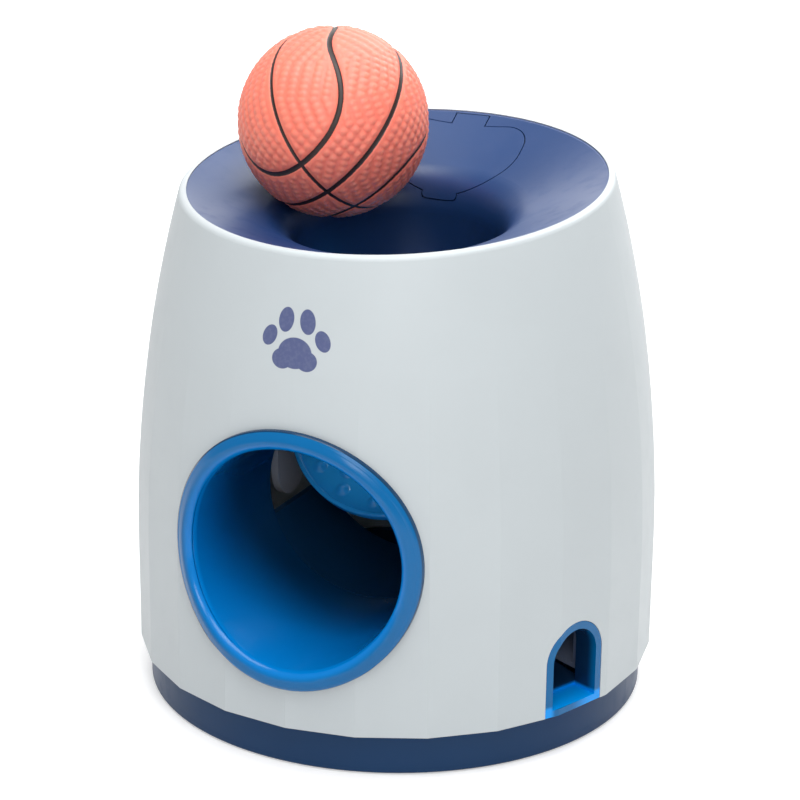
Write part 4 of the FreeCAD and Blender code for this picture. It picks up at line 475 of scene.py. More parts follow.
@dataclass(frozen=True)
class OutletPlastic(PaintedLightAndShadePlastic):
    """Outlet: painted light on the floor behind the sill, painted shade on the walls behind the frame and
    past the floor's end.
    """

    azimuth: float = 64.8
    # Painted shade on the walls fades out from the dark reach to the frame's reach; painted light on the
    # floor ends at the lit reach, and painted shade covers the floor past its end.
    frame_reach: float = 84.2
    dark_reach: float = 80.5
    sill_top: float = 16.6
    floor_end: float = 75.5
    floor_width: float = 1.5
    lit_reach: float = 85.0
    lit_blur: float = 0.5

    def reach(self, graph: Graph) -> Socket:
        """Distance from the toy's axis in the outlet's direction."""
        x, y, _ = graph.axes()
        turn = math.radians(self.azimuth)
        return graph.blend(x, math.sin(turn), y, -math.cos(turn))

    def inside(self, graph: Graph) -> Socket:
        """1 on the floor behind the sill, where the inner colour is painted light, and 0 elsewhere."""
        height = graph.axes()[2]
        low = graph.ramp(height, self.sill_top, self.sill_top + self.floor_width, 1.0, 0.0)
        behind = graph.ramp(self.reach(graph), self.lit_reach - self.lit_blur, self.lit_reach, 1.0, 0.0)
        return graph.math("MULTIPLY", low, behind)

    def depth(self, graph: Graph) -> Socket:
        """Share of the painted shade colour.

        Args:
            graph: Graph to add to.

        Returns:
            The larger of the walls' share behind the frame and the floor's behind its end.
        """
        reach, height = self.reach(graph), graph.axes()[2]
        behind = graph.ramp(reach, self.dark_reach, self.frame_reach, 1.0, 0.0)
        over = graph.ramp(height, self.sill_top, self.sill_top + self.floor_width, 0.0, 1.0)
        far = graph.ramp(reach, self.floor_end - self.floor_width, self.floor_end, 1.0, 0.0)
        return graph.math("MAXIMUM", graph.math("MULTIPLY", behind, over), far)


@dataclass(frozen=True)
class FunnelPlastic(PaintedLightAndShadePlastic):
    """Funnel and hatch: painted shade, darker towards the throat."""

    throat_radius: float = 33.6
    roll_radius: float = 36.5
    throat_share: float = 0.4

    def depth(self, graph: Graph) -> Socket:
        """Share of the painted shade colour, which grows from the roll to the throat."""
        x, y, _ = graph.axes()
        radius = graph.span(x, y)
        return graph.ramp(radius, self.throat_radius, self.roll_radius, self.throat_share, 0.0)


@dataclass(frozen=True)
class Rubber:
    """Black or grey rubber: matt, with a coarse skin and pale dust in its hollows."""

    name: str
    colour: Colour
    dust: Colour = (0.16, 0.16, 0.16)
    dust_share: float = 0.45
    dust_scale: float = 260.0
    dust_range: Pair = (0.5, 0.85)
    skin_scale: float = 1400.0
    skin_depth: float = 0.02
    roughness: Pair = (0.62, 0.8)

    def build(self) -> bpy.types.Material:
        """The finished material."""
        graph = MaterialGraph(self.name)
        skin = graph.noise(self.skin_scale, 3.0)
        share = graph.ramp(graph.noise(self.dust_scale, 4.0), *self.dust_range, 0.0, self.dust_share)
        tone = graph.mix(share, self.colour, self.dust)
        rough = graph.ramp(skin, *NOISE_SPAN, *self.roughness)
        return graph.finish(tone, rough, graph.bump(skin, self.skin_depth * MM))


@dataclass(frozen=True)
class Steel:
    """Bright steel with fine drawing marks along the axis that has the smallest scale."""

    name: str
    colour: Colour = (0.6, 0.61, 0.62)
    mark_scales: Triple = (60.0, 2600.0, 2600.0)
    roughness: float = 0.28
    rubbed: float = 0.14
    wear_scale: float = 300.0
    mark_tone: float = 0.72
    mark_depth: float = 0.003

    def build(self) -> bpy.types.Material:
        """The finished material."""
        graph = MaterialGraph(self.name)
        graph.shader.inputs["Metallic"].default_value = 1.0
        stretch = graph.node("ShaderNodeMapping")
        graph.link(graph.place(), stretch.inputs["Vector"])
        stretch.inputs["Scale"].default_value = self.mark_scales
        marks = graph.noise(1.0, 3.0, stretch.outputs[0])
        dark = tuple(c * self.mark_tone for c in self.colour)
        tone = graph.mix(graph.ramp(marks, *NOISE_SPAN, 0.0, 1.0), self.colour, dark)
        wear, base = graph.noise(self.wear_scale, 3.0), self.roughness
        rough = graph.ramp(wear, *NOISE_SPAN, base, base + self.rubbed)
        return graph.finish(tone, rough, graph.bump(marks, self.mark_depth * MM))


@dataclass(frozen=True)
class BallVinyl:
    """Soft coral vinyl: paint in the seams, and pebbles a little paler than the skin between.

    It reads the ball's own attributes: seam is the distance in millimetres from the edge of the
    nearest seam, below zero inside it, and pebble is the height of a pebble from 0 to 1.
    """

    name: str = "ball_vinyl_skin"
    skin: Colour = (0.96, 0.215, 0.145)
    pebble: Colour = (0.98, 0.3, 0.215)
    paint: Colour = (0.026, 0.013, 0.011)
    roughness: float = 0.43
    rubbed: float = 0.1
    glow_through: float = 0.3
    glow_reach: float = 3.0
    top_share: float = 0.4
    top_range: Pair = (0.1, 0.9)
    fade_share: float = 0.3
    fade_range: Pair = (0.3, 0.75)
    fade_scale: float = 45.0
    ragged_scale: float = 700.0
    ragged_reach: float = 0.22
    paint_edge: Pair = (0.03, 0.21)
    wear_scale: float = 240.0
    wear_range: Pair = (0.35, 0.7)
    grain_scale: float = 2400.0
    grain_depth: float = 0.006

    def build(self) -> bpy.types.Material:
        """The finished material."""
        graph = MaterialGraph(self.name)
        graph.shader.inputs["Subsurface Weight"].default_value = self.glow_through
        graph.shader.inputs["Subsurface Scale"].default_value = self.glow_reach * MM
        seam = graph.node("ShaderNodeAttribute", attribute_name="seam").outputs["Fac"]
        height = graph.node("ShaderNodeAttribute", attribute_name="pebble").outputs["Fac"]
        fade = graph.ramp(graph.noise(self.fade_scale, 3.0), *self.fade_range, 0.0, self.fade_share)
        top = graph.ramp(height, *self.top_range, 0.0, self.top_share)
        tone = graph.mix(graph.math("ADD", top, fade, clamp=True), self.skin, self.pebble)
        ragged = graph.math("MULTIPLY_ADD", graph.noise(self.ragged_scale), self.ragged_reach, seam)
        tone = graph.mix(graph.ramp(ragged, *self.paint_edge, 1.0, 0.0), tone, self.paint)
        wear, base = graph.noise(self.wear_scale, 3.0), self.roughness
        rough = graph.ramp(wear, *self.wear_range, base, base + self.rubbed)
        grain = graph.bump(graph.noise(self.grain_scale), self.grain_depth * MM)
        return graph.finish(tone, rough, grain)


def add_object(name: str, data: bpy.types.ID) -> bpy.types.Object:
    """Add an object with its data to the scene, at the origin."""
    made = bpy.data.objects.new(name, data)
    bpy.context.scene.collection.objects.link(made)
    return made


def dress(material: bpy.types.Material, *nodes: str) -> None:
    """Give CAD nodes a material in every slot.

    Args:
        material: The material.
        nodes: Names of the nodes.
    """
    for name in nodes:
        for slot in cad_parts[name].material_slots:
            slot.material = material
        LOG.info("dressed %s in %s", name, material.name)


def mesh_object(
    name: str, points: np.ndarray, faces: np.ndarray, material: bpy.types.Material
) -> bpy.types.Object:
    """Make a smooth mesh object at the origin from whole arrays.

    Args:
        name: Name of the piece.
        points: Points in millimetres, one row each.
        faces: Quads as rows of four point numbers, counter-clockwise from outside.
        material: Its material.

    Returns:
        The object.
    """
    mesh = bpy.data.meshes.new(name)
    mesh.from_pydata((points * MM).tolist(), [], faces.tolist())
    mesh.polygons.foreach_set("use_smooth", np.ones(len(faces), bool))
    mesh.materials.append(material)
    mesh.update()
    LOG.info("built %s: %d points, %d faces", name, len(points), len(faces))
    return add_object(name, mesh)


def smooth_step(share: np.ndarray) -> np.ndarray:
    """Three times the square less twice the cube, for shares from 0 to 1."""
    return share * share * (3.0 - 2.0 * share)


def float_attribute(piece: bpy.types.Object, name: str, values: np.ndarray) -> None:
    """Store one number per point on a mesh.

    Args:
        piece: The piece.
        name: Name of the attribute.
        values: One number per point.
    """
    piece.data.attributes.new(name, "FLOAT", "POINT").data.foreach_set("value", values.astype(np.float32))


def full_turn(steps: int) -> np.ndarray:
    """Angles in radians of equal steps round a full turn, from 0."""
    return np.arange(steps) * (2 * math.pi / steps)


def copied_faces(faces: np.ndarray, count: int, copies: int) -> np.ndarray:
    """Faces of copies of one piece, whose points follow each other.

    Args:
        faces: Faces of the first copy.
        count: Number of points of one copy.
        copies: Number of copies.

    Returns:
        Faces of all the copies.
    """
    return np.vstack([faces + k * count for k in range(copies)])


def turned_surface(profile: np.ndarray, around: np.ndarray) -> tuple[np.ndarray, np.ndarray]:
    """Surface of revolution about Z.

    A point is the profile's radius times the cosine and sine of the angle, at the profile's
    height. The two end points lie on the axis, and each end closes in a fan of quads that share
    the point there.

    Args:
        profile: Rows of radius and height, from the lower axis point to the upper one.
        around: Angles in radians, an even number of them.

    Returns:
        Points, and quads that face outwards.
    """
    inner = profile[1:-1]
    rings, steps = len(inner), len(around)
    radius, height = inner[:, 0][:, None], inner[:, 1][:, None]
    grid = np.stack([radius * np.cos(around), radius * np.sin(around), height + 0 * around], axis=-1)
    points = np.vstack([grid.reshape(-1, 3), [0.0, 0.0, profile[0, 1]], [0.0, 0.0, profile[-1, 1]]])
    row, col = np.meshgrid(np.arange(rings - 1), np.arange(steps), indexing="ij")
    nxt = (col + 1) % steps
    below, above = row * steps, (row + 1) * steps
    quads = np.stack([below + col, below + nxt, above + nxt, above + col], axis=-1).reshape(-1, 4)
    low, high = rings * steps, rings * steps + 1
    turn = np.arange(0, steps, 2)
    mid, far = turn + 1, (turn + 2) % steps
    last = (rings - 1) * steps
    under = np.stack([np.full_like(turn, low), far, mid, turn], axis=-1)
    over = np.stack([np.full_like(turn, high), last + turn, last + mid, last + far], axis=-1)
    return points, np.vstack([quads, under, over])


@dataclass
class Body:
    """Shell, base, their screws and the rubber feet."""

    foot_radius: float = 7.0
    foot_pitch_radius: float = 66.8
    foot_count: int = 4
    foot_top: float = 2.0
    foot_round: float = 0.6
    grip_depth: float = 0.35
    grip_rings: int = 3
    ring_steps: int = 12
    round_steps: int = 6
    turn_steps: int = 48

    def foot_profile(self) -> np.ndarray:
        """Half section of a foot, from the middle of its underside to the middle of its top.

        Returns:
            Rows of radius and height. The underside is a row of rings: its height is the grip
            depth times the square of the sine of the ring's phase, so it dips between rings.
        """
        flat = self.foot_radius - self.foot_round
        radius = np.linspace(0.0, flat, self.ring_steps * self.grip_rings + 1)
        under = self.grip_depth * np.sin(math.pi * self.grip_rings * (1.0 - radius / flat)) ** 2
        turn = np.linspace(0.0, math.pi / 2, self.round_steps + 1)[1:]
        corner_r = flat + self.foot_round * np.sin(turn)
        corner_z = self.foot_round * (1.0 - np.cos(turn))
        top = np.array([[self.foot_radius, self.foot_top], [0.0, self.foot_top]])
        return np.vstack([np.c_[radius, under], np.c_[corner_r, corner_z], top])

    def build(self) -> None:
        """Dress the body's CAD nodes and build its feet."""
        dress(SHELL.build(), "outer_shell")
        dress(NAVY_BASE.build(), "base_plate")
        dress(SCREW_STEEL.build(), "base_screws")
        rubber = RUBBER_GREY.build()
        points, faces = turned_surface(self.foot_profile(), full_turn(self.turn_steps))
        places = full_turn(self.foot_count)
        shift = np.c_[np.sin(places), -np.cos(places), 0 * places] * self.foot_pitch_radius
        all_points = np.vstack([points + s for s in shift])
        all_faces = copied_faces(faces, len(points), self.foot_count)
        feet = mesh_object("feet_with_grip_rings", all_points, all_faces, rubber)
        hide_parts("non_slip_feet")
        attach(feet, "housing")


@dataclass
class Funnel:
    """Funnel with its drop throat, hatch and hinge."""

    def build(self) -> None:
        """Dress the funnel's CAD nodes."""
        dress(NAVY_FUNNEL.build(), "funnel_top")
        dress(NAVY_LID.build(), "treat_lid")
        dress(BRIGHT_STEEL.build(), "lid_hinge_pin")
        dress(SCREW_STEEL.build(), "funnel_screws")


@dataclass
class Passages:
    """Ball tunnel, ramp, treat outlet and chute.

    The bead's face is a range of distances from the tunnel's axis, and its rounds, and the
    crown's falls and powers, are the values inside and outside it.
    """

    axis_z: float = TUNNEL_AXIS_Z
    belly_radius: float = 85.6
    belly_top: float = 50.0
    wall_bend: float = 444.2
    bead_proud: float = 2.3
    bead_face: Pair = (38.2, 39.4)
    bead_rounds: Pair = (3.2, 1.9)
    crown_radius: float = 38.28
    crown_half_width: float = 2.97
    crown_rise: float = 0.45
    crown_falls: Pair = (2.3, 0.95)
    crown_powers: Pair = (2.0, 1.3)
    crown_sink: float = 0.12
    crown_root: float = 0.4
    crown_fade: Pair = (31.0, 38.0)
    crown_lines: int = 21
    crown_steps: int = 240

    def body_radius(self, height: np.ndarray) -> np.ndarray:
        """Radius of the round body: upright up to the belly's top, then one arc inwards."""
        over = np.maximum(height - self.belly_top, 0.0)
        return self.belly_radius - self.wall_bend + np.sqrt(self.wall_bend**2 - over**2)

    def bead_height(self, radial: np.ndarray) -> np.ndarray:
        """Height of the bead's rounded edges, zero on its face and below zero beside it.

        Args:
            radial: Distances from the tunnel's axis.

        Returns:
            The heights, which follow a quarter circle on each side of the face.
        """
        inner, outer = self.bead_rounds
        inwards = np.clip(self.bead_face[0] - radial, 0.0, inner)
        outwards = np.clip(radial - self.bead_face[1], 0.0, outer)
        return np.sqrt(inner**2 - inwards**2) - inner + np.sqrt(outer**2 - outwards**2) - outer

    def bead_crown(self, material: bpy.types.Material) -> None:
        """Build the soft crown of the tunnel's bead.

        At an angle round the tunnel's axis and a distance from it, a point has that X and Z. Its
        Y is minus the root of its reach squared minus X squared. Its reach is the body's radius
        plus the bead's and the crown's height. The crown falls with a power of the share of its
        half width, and fades into the bead at the bottom of the ring, by a smooth step of the
        height. The root lies under the bead's surface and closes the ring.

        Args:
            material: Material of the tunnel.
        """
        share = np.linspace(-1.0, 1.0, self.crown_lines)
        line = self.crown_radius + self.crown_half_width * share
        within = share < 0.0
        fall = np.where(within, *self.crown_falls) * np.abs(share) ** np.where(within, *self.crown_powers)
        crown = self.crown_rise - fall
        bead = self.bead_height(line) - self.crown_sink
        turn = full_turn(self.crown_steps)[:, None]
        radial = np.concatenate([line, line[::-1]])
        x, z = radial * np.cos(turn), radial * np.sin(turn) + self.axis_z
        low, high = self.crown_fade
        rise = np.clip((z[:, : len(line)] - low) / (high - low), 0.0, 1.0)
        top = bead + (crown - bead) * smooth_step(rise)
        bottom = np.broadcast_to(bead[::-1] - self.crown_root, top.shape)
        reach = self.body_radius(z) + self.bead_proud + np.hstack([top, bottom])
        points = np.stack([x, -np.sqrt(reach**2 - x**2), z], axis=-1).reshape(-1, 3)
        rings, count = x.shape
        i, j = np.meshgrid(np.arange(rings), np.arange(count), indexing="ij")
        after, beside = (i + 1) % rings * count, (j + 1) % count
        corners = [i * count + j, i * count + beside, after + beside, after + j]
        faces = np.stack(corners, axis=-1).reshape(-1, 4)
        piece = mesh_object("tunnel_bead_crown", points, faces, material)
        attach(piece, "housing")

    def build(self) -> None:
        """Dress the passages' CAD nodes and build the bead's crown."""
        blue = BLUE_TUNNEL.build()
        dress(blue, "exit_tunnel")
        self.bead_crown(blue)
        dress(BLUE_OUTLET.build(), "treat_outlet")
        dress(INNER_BLACK.build(), "tunnel_ring")
        dress(INNER_NAVY.build(), "ball_ramp")
        dress(INNER_BLUE.build(), "treat_chute")
        dress(SCREW_STEEL.build(), "ramp_screws")


@dataclass
class Works:
    """Paddle with its counterweights, gears, dosing drum and hopper."""

    paddle_height: float = 90.0
    paddle_lean: float = 40.0
    paddle_radius: float = 37.0
    dish: float = 5.0
    rim_bumps: int = 16
    rim_bump_pitch_radius: float = 31.2
    rim_bump_radius: float = 2.9
    rim_bump_rise: float = 1.5
    rim_bump_root: float = 0.6
    dome_steps: int = 8
    turn_steps: int = 24

    def rim_bump_row(self, material: bpy.types.Material) -> None:
        """Build the row of soft bumps along the paddle's rim.

        A bump is a dome: its height over the dish is the rise times the squared cosine of a
        quarter turn times the share of the bump's radius, and it is rooted in the dish, whose
        depth is that of a sphere through the rim and the bottom of the dish.

        Args:
            material: Material of the paddle.
        """
        share = np.linspace(0.0, 1.0, self.dome_steps + 1)
        rise = self.rim_bump_rise * np.cos(share * math.pi / 2) ** 2
        dome = np.c_[share * self.rim_bump_radius, rise][::-1]
        root = -self.rim_bump_root
        profile = np.vstack([[[0.0, root], [self.rim_bump_radius, root]], dome])
        points, faces = turned_surface(profile, full_turn(self.turn_steps))
        bowl = (self.paddle_radius**2 + self.dish**2) / (2 * self.dish)
        depth = self.dish - bowl + math.sqrt(bowl**2 - self.rim_bump_pitch_radius**2)
        tilt = math.asin(self.rim_bump_pitch_radius / bowl)
        cos, sin = math.cos(tilt), math.sin(tilt)
        out = points[:, 0] * cos - points[:, 2] * sin + self.rim_bump_pitch_radius
        front = points[:, 2] * cos + points[:, 0] * sin - depth
        turns = full_turn(self.rim_bumps)[:, None]
        aside = out * np.sin(turns) + points[:, 1] * np.cos(turns)
        along = points[:, 1] * np.sin(turns) - out * np.cos(turns)
        flat = np.c_[aside.ravel(), np.tile(-front, self.rim_bumps), along.ravel()]
        lean = math.radians(-self.paddle_lean)
        y = flat[:, 1] * math.cos(lean) - flat[:, 2] * math.sin(lean)
        z = flat[:, 1] * math.sin(lean) + flat[:, 2] * math.cos(lean) + self.paddle_height
        all_faces = copied_faces(faces, len(points), self.rim_bumps)
        bumps = mesh_object("paddle_rim_bumps", np.c_[flat[:, 0], y, z], all_faces, material)
        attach(bumps, "paddle")

    def build(self) -> None:
        """Dress the moving works' CAD nodes and build the paddle's rim bumps."""
        # The paddle's lighter blue is painted light for its dim place inside.
        blue = BLUE_PADDLE_PAINTED_LIGHT.build()
        dress(blue, "trigger_paddle")
        self.rim_bump_row(blue)
        dress(GUARD_GREY.build(), "side_guard_left", "side_guard_right")
        dress(INNER_GREY.build(), "dosing_drum", "treat_hopper", "drum_cover")
        dress(INNER_BLACK.build(), "counterweight_arm_left", "counterweight_arm_right")
        dress(ACETAL.build(), "axle_bush_left", "axle_bush_right", "drive_sector", "drum_pinion")
        dress(RUBBER_BLACK.build(), "stop_bumpers")
        dress(BRIGHT_STEEL.build(), "paddle_axle", "axle_clips", "drum_axle")
        dress(WEIGHT_STEEL.build(), "counterweight_left", "counterweight_right")
        dress(SCREW_STEEL.build(), "guard_screws", "hopper_screws", "drum_cover_screws")


@dataclass(frozen=True)
class Seam:
    """A seam of the ball, as a wavy ring about an axis of the ball's own frame.

    A point of the ring stands at an angle from the axis that is a base angle plus waves of the
    turn round the axis: the waves are (order, cosine part, sine part), in degrees.
    """

    axis: int
    sign: float
    base: float
    waves: tuple[tuple[int, float, float], ...]
    width: float
    least_sine: float = 0.2

    def distance(self, local: np.ndarray, radius: float) -> np.ndarray:
        """Distance of points from the seam's middle line.

        It is the difference between the point's angle from the axis and the ring's angle at
        the same turn, made shorter where the ring runs aslant, times the ball's radius.

        Args:
            local: Unit vectors in the ball's own frame, one row each.
            radius: Radius of the ball.

        Returns:
            Distances in millimetres.
        """
        up = self.sign * local[:, self.axis]
        first, second = ((1, 2), (0, 1), (1, 0))[self.axis]
        turn = np.arctan2(local[:, second], local[:, first])
        angle = np.arccos(np.clip(up, -1.0, 1.0))
        ring = np.full_like(turn, math.radians(self.base))
        slope = np.zeros_like(turn)
        for order, cos_part, sin_part in self.waves:
            c, s = math.radians(cos_part), math.radians(sin_part)
            ring += c * np.cos(order * turn) + s * np.sin(order * turn)
            slope += order * (s * np.cos(order * turn) - c * np.sin(order * turn))
        aslant = np.sqrt(1.0 + (slope / np.maximum(np.sin(angle), self.least_sine)) ** 2)
        return np.abs(angle - ring) / aslant * radius


@dataclass
class Ball:
    """Loose vinyl ball with pebbles and four painted seams.

    Its axes are unit vectors of the frame, and the seams stand about them. The border is the
    plain strip from a seam's edge, over which the pebbles grow to their height.
    """

    radius: float = 30.7
    cells: int = 127
    pebble_rise: float = 0.4
    pebble_row: float = 2.1
    pebble_pitch: float = 3.9
    pebble_radius: float = 1.5
    pebble_axis: Triple = (-0.0801, -0.0343, 0.9962)
    seam_depth: float = 0.5
    seam_slope: float = 0.5
    border: float = 1.3
    border_start: float = 0.5
    lip_rise: float = 0.1
    lip_width: float = 0.45
    axes: tuple[Triple, Triple, Triple] = (
        (0.7362, -0.0068, 0.6768),
        (-0.3859, 0.8173, 0.428),
        (-0.556, -0.5762, 0.599),
    )
    seams: tuple[Seam, ...] = (
        Seam(0, 1.0, 85.79, ((1, -14.28, -7.04), (2, -1.0, -0.37)), 1.2),
        Seam(2, 1.0, 93.37, ((2, 0.0, -1.24),), 1.6),
        Seam(2, 1.0, 56.21, ((1, -4.4, 2.79), (2, 10.67, 1.32), (4, -2.43, 0.0)), 1.7),
        Seam(2, -1.0, 56.21, ((1, 3.69, 1.53), (2, 10.67, 6.19), (4, -2.43, 0.0)), 1.6),
    )

    def sphere(self) -> tuple[np.ndarray, np.ndarray]:
        """Unit sphere from the six faces of a cube, with equal angles along each face.

        A face's point is one, the tangent of the first angle and the tangent of the second,
        with both angles from minus to plus 45 degrees, brought to length one.

        Returns:
            Points with shared edges merged, and quads that face outwards.
        """
        steps = np.tan(np.linspace(-math.pi / 4, math.pi / 4, self.cells + 1))
        u, v = np.meshgrid(steps, steps, indexing="ij")
        one = np.ones_like(u)
        sides = []
        for axis in range(3):
            for sign in (1.0, -1.0):
                parts = [one * sign, u * sign, v]
                sides.append(np.stack([parts[(k - axis) % 3] for k in range(3)], axis=-1).reshape(-1, 3))
        points = np.vstack(sides)
        points /= np.linalg.norm(points, axis=1)[:, None]
        i, j = np.meshgrid(np.arange(self.cells), np.arange(self.cells), indexing="ij")
        width = self.cells + 1
        corner = i * width + j
        quad = np.stack([corner, corner + width, corner + width + 1, corner + 1], axis=-1).reshape(-1, 4)
        quads = copied_faces(quad, width * width, 6)
        _, first, same = np.unique(np.round(points, 7), axis=0, return_index=True, return_inverse=True)
        return points[first], same.reshape(-1)[quads]

    def pebbles(self, unit: np.ndarray) -> np.ndarray:
        """Height of the pebbles, from 0 between them to 1 on their tops.

        Pebbles stand in rings about the pebbles' axis, one row apart, each ring with as many as
        fit at the pitch and turned by half a step against the last. A pebble's height is one
        minus the squared distance from its middle over its radius squared.

        Args:
            unit: Unit vectors from the ball's middle.

        Returns:
            Heights.
        """
        up = np.array(self.pebble_axis)
        across = np.cross(up, [0.0, 1.0, 0.0])
        across /= np.linalg.norm(across)
        angle = np.arccos(np.clip(unit @ up, -1.0, 1.0))
        turn = np.arctan2(unit @ np.cross(up, across), unit @ across)
        rows = int(round(math.pi * self.radius / self.pebble_row))
        row_angle = math.pi / rows
        near = np.floor(angle / row_angle)
        best = np.zeros_like(angle)
        for step in (-1, 0, 1):
            row = np.clip(near + step, 0, rows - 1)
            middle = (row + 0.5) * row_angle
            girth = 2 * math.pi * np.sin(middle) * self.radius
            count = np.maximum(np.round(girth / self.pebble_pitch), 1.0)
            phase = turn / (2 * math.pi) * count - 0.5 * (row % 2)
            aside = (phase - np.round(phase)) * 2 * math.pi / count * np.sin(angle) * self.radius
            ahead = (angle - middle) * self.radius
            best = np.maximum(best, 1.0 - (aside**2 + ahead**2) / self.pebble_radius**2)
        return best

    def build(self) -> None:
        """Build the ball in the place of its CAD node.

        A point's reach is the skin's radius plus the pebble's height there, plus a bell-shaped
        lip beside the seams, less the seam's depth by a smooth step across the seam's edge.
        """
        low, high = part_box("ball")
        centre = np.array((low + high) / 2) / MM
        unit, faces = self.sphere()
        local = unit @ np.array(self.axes).T
        edges = [seam.distance(local, self.radius) - seam.width / 2 for seam in self.seams]
        edge = np.minimum.reduce(edges)
        beside = np.clip((edge - self.border_start) / self.border, 0.0, 1.0)
        pebble = self.pebbles(unit) * smooth_step(beside)
        groove = smooth_step(np.clip(0.5 - edge / self.seam_slope, 0.0, 1.0))
        lip = np.exp(-(((edge - self.border) / self.lip_width) ** 2)) * self.lip_rise
        skin = self.radius - self.pebble_rise
        reach = skin + self.pebble_rise * pebble + lip * (1 - pebble) - self.seam_depth * groove
        piece = mesh_object("pebbled_ball", centre + unit * reach[:, None], faces, BallVinyl().build())
        float_attribute(piece, "seam", edge)
        float_attribute(piece, "pebble", pebble)
        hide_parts("ball")
        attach(piece, "ball_body")


@dataclass(frozen=True)
class Lamp:
    """Square soft lamp: where it hangs, in degrees and metres, its side and its watts."""

    name: str
    azimuth: float
    elevation: float
    reach: float
    size: float
    power: float


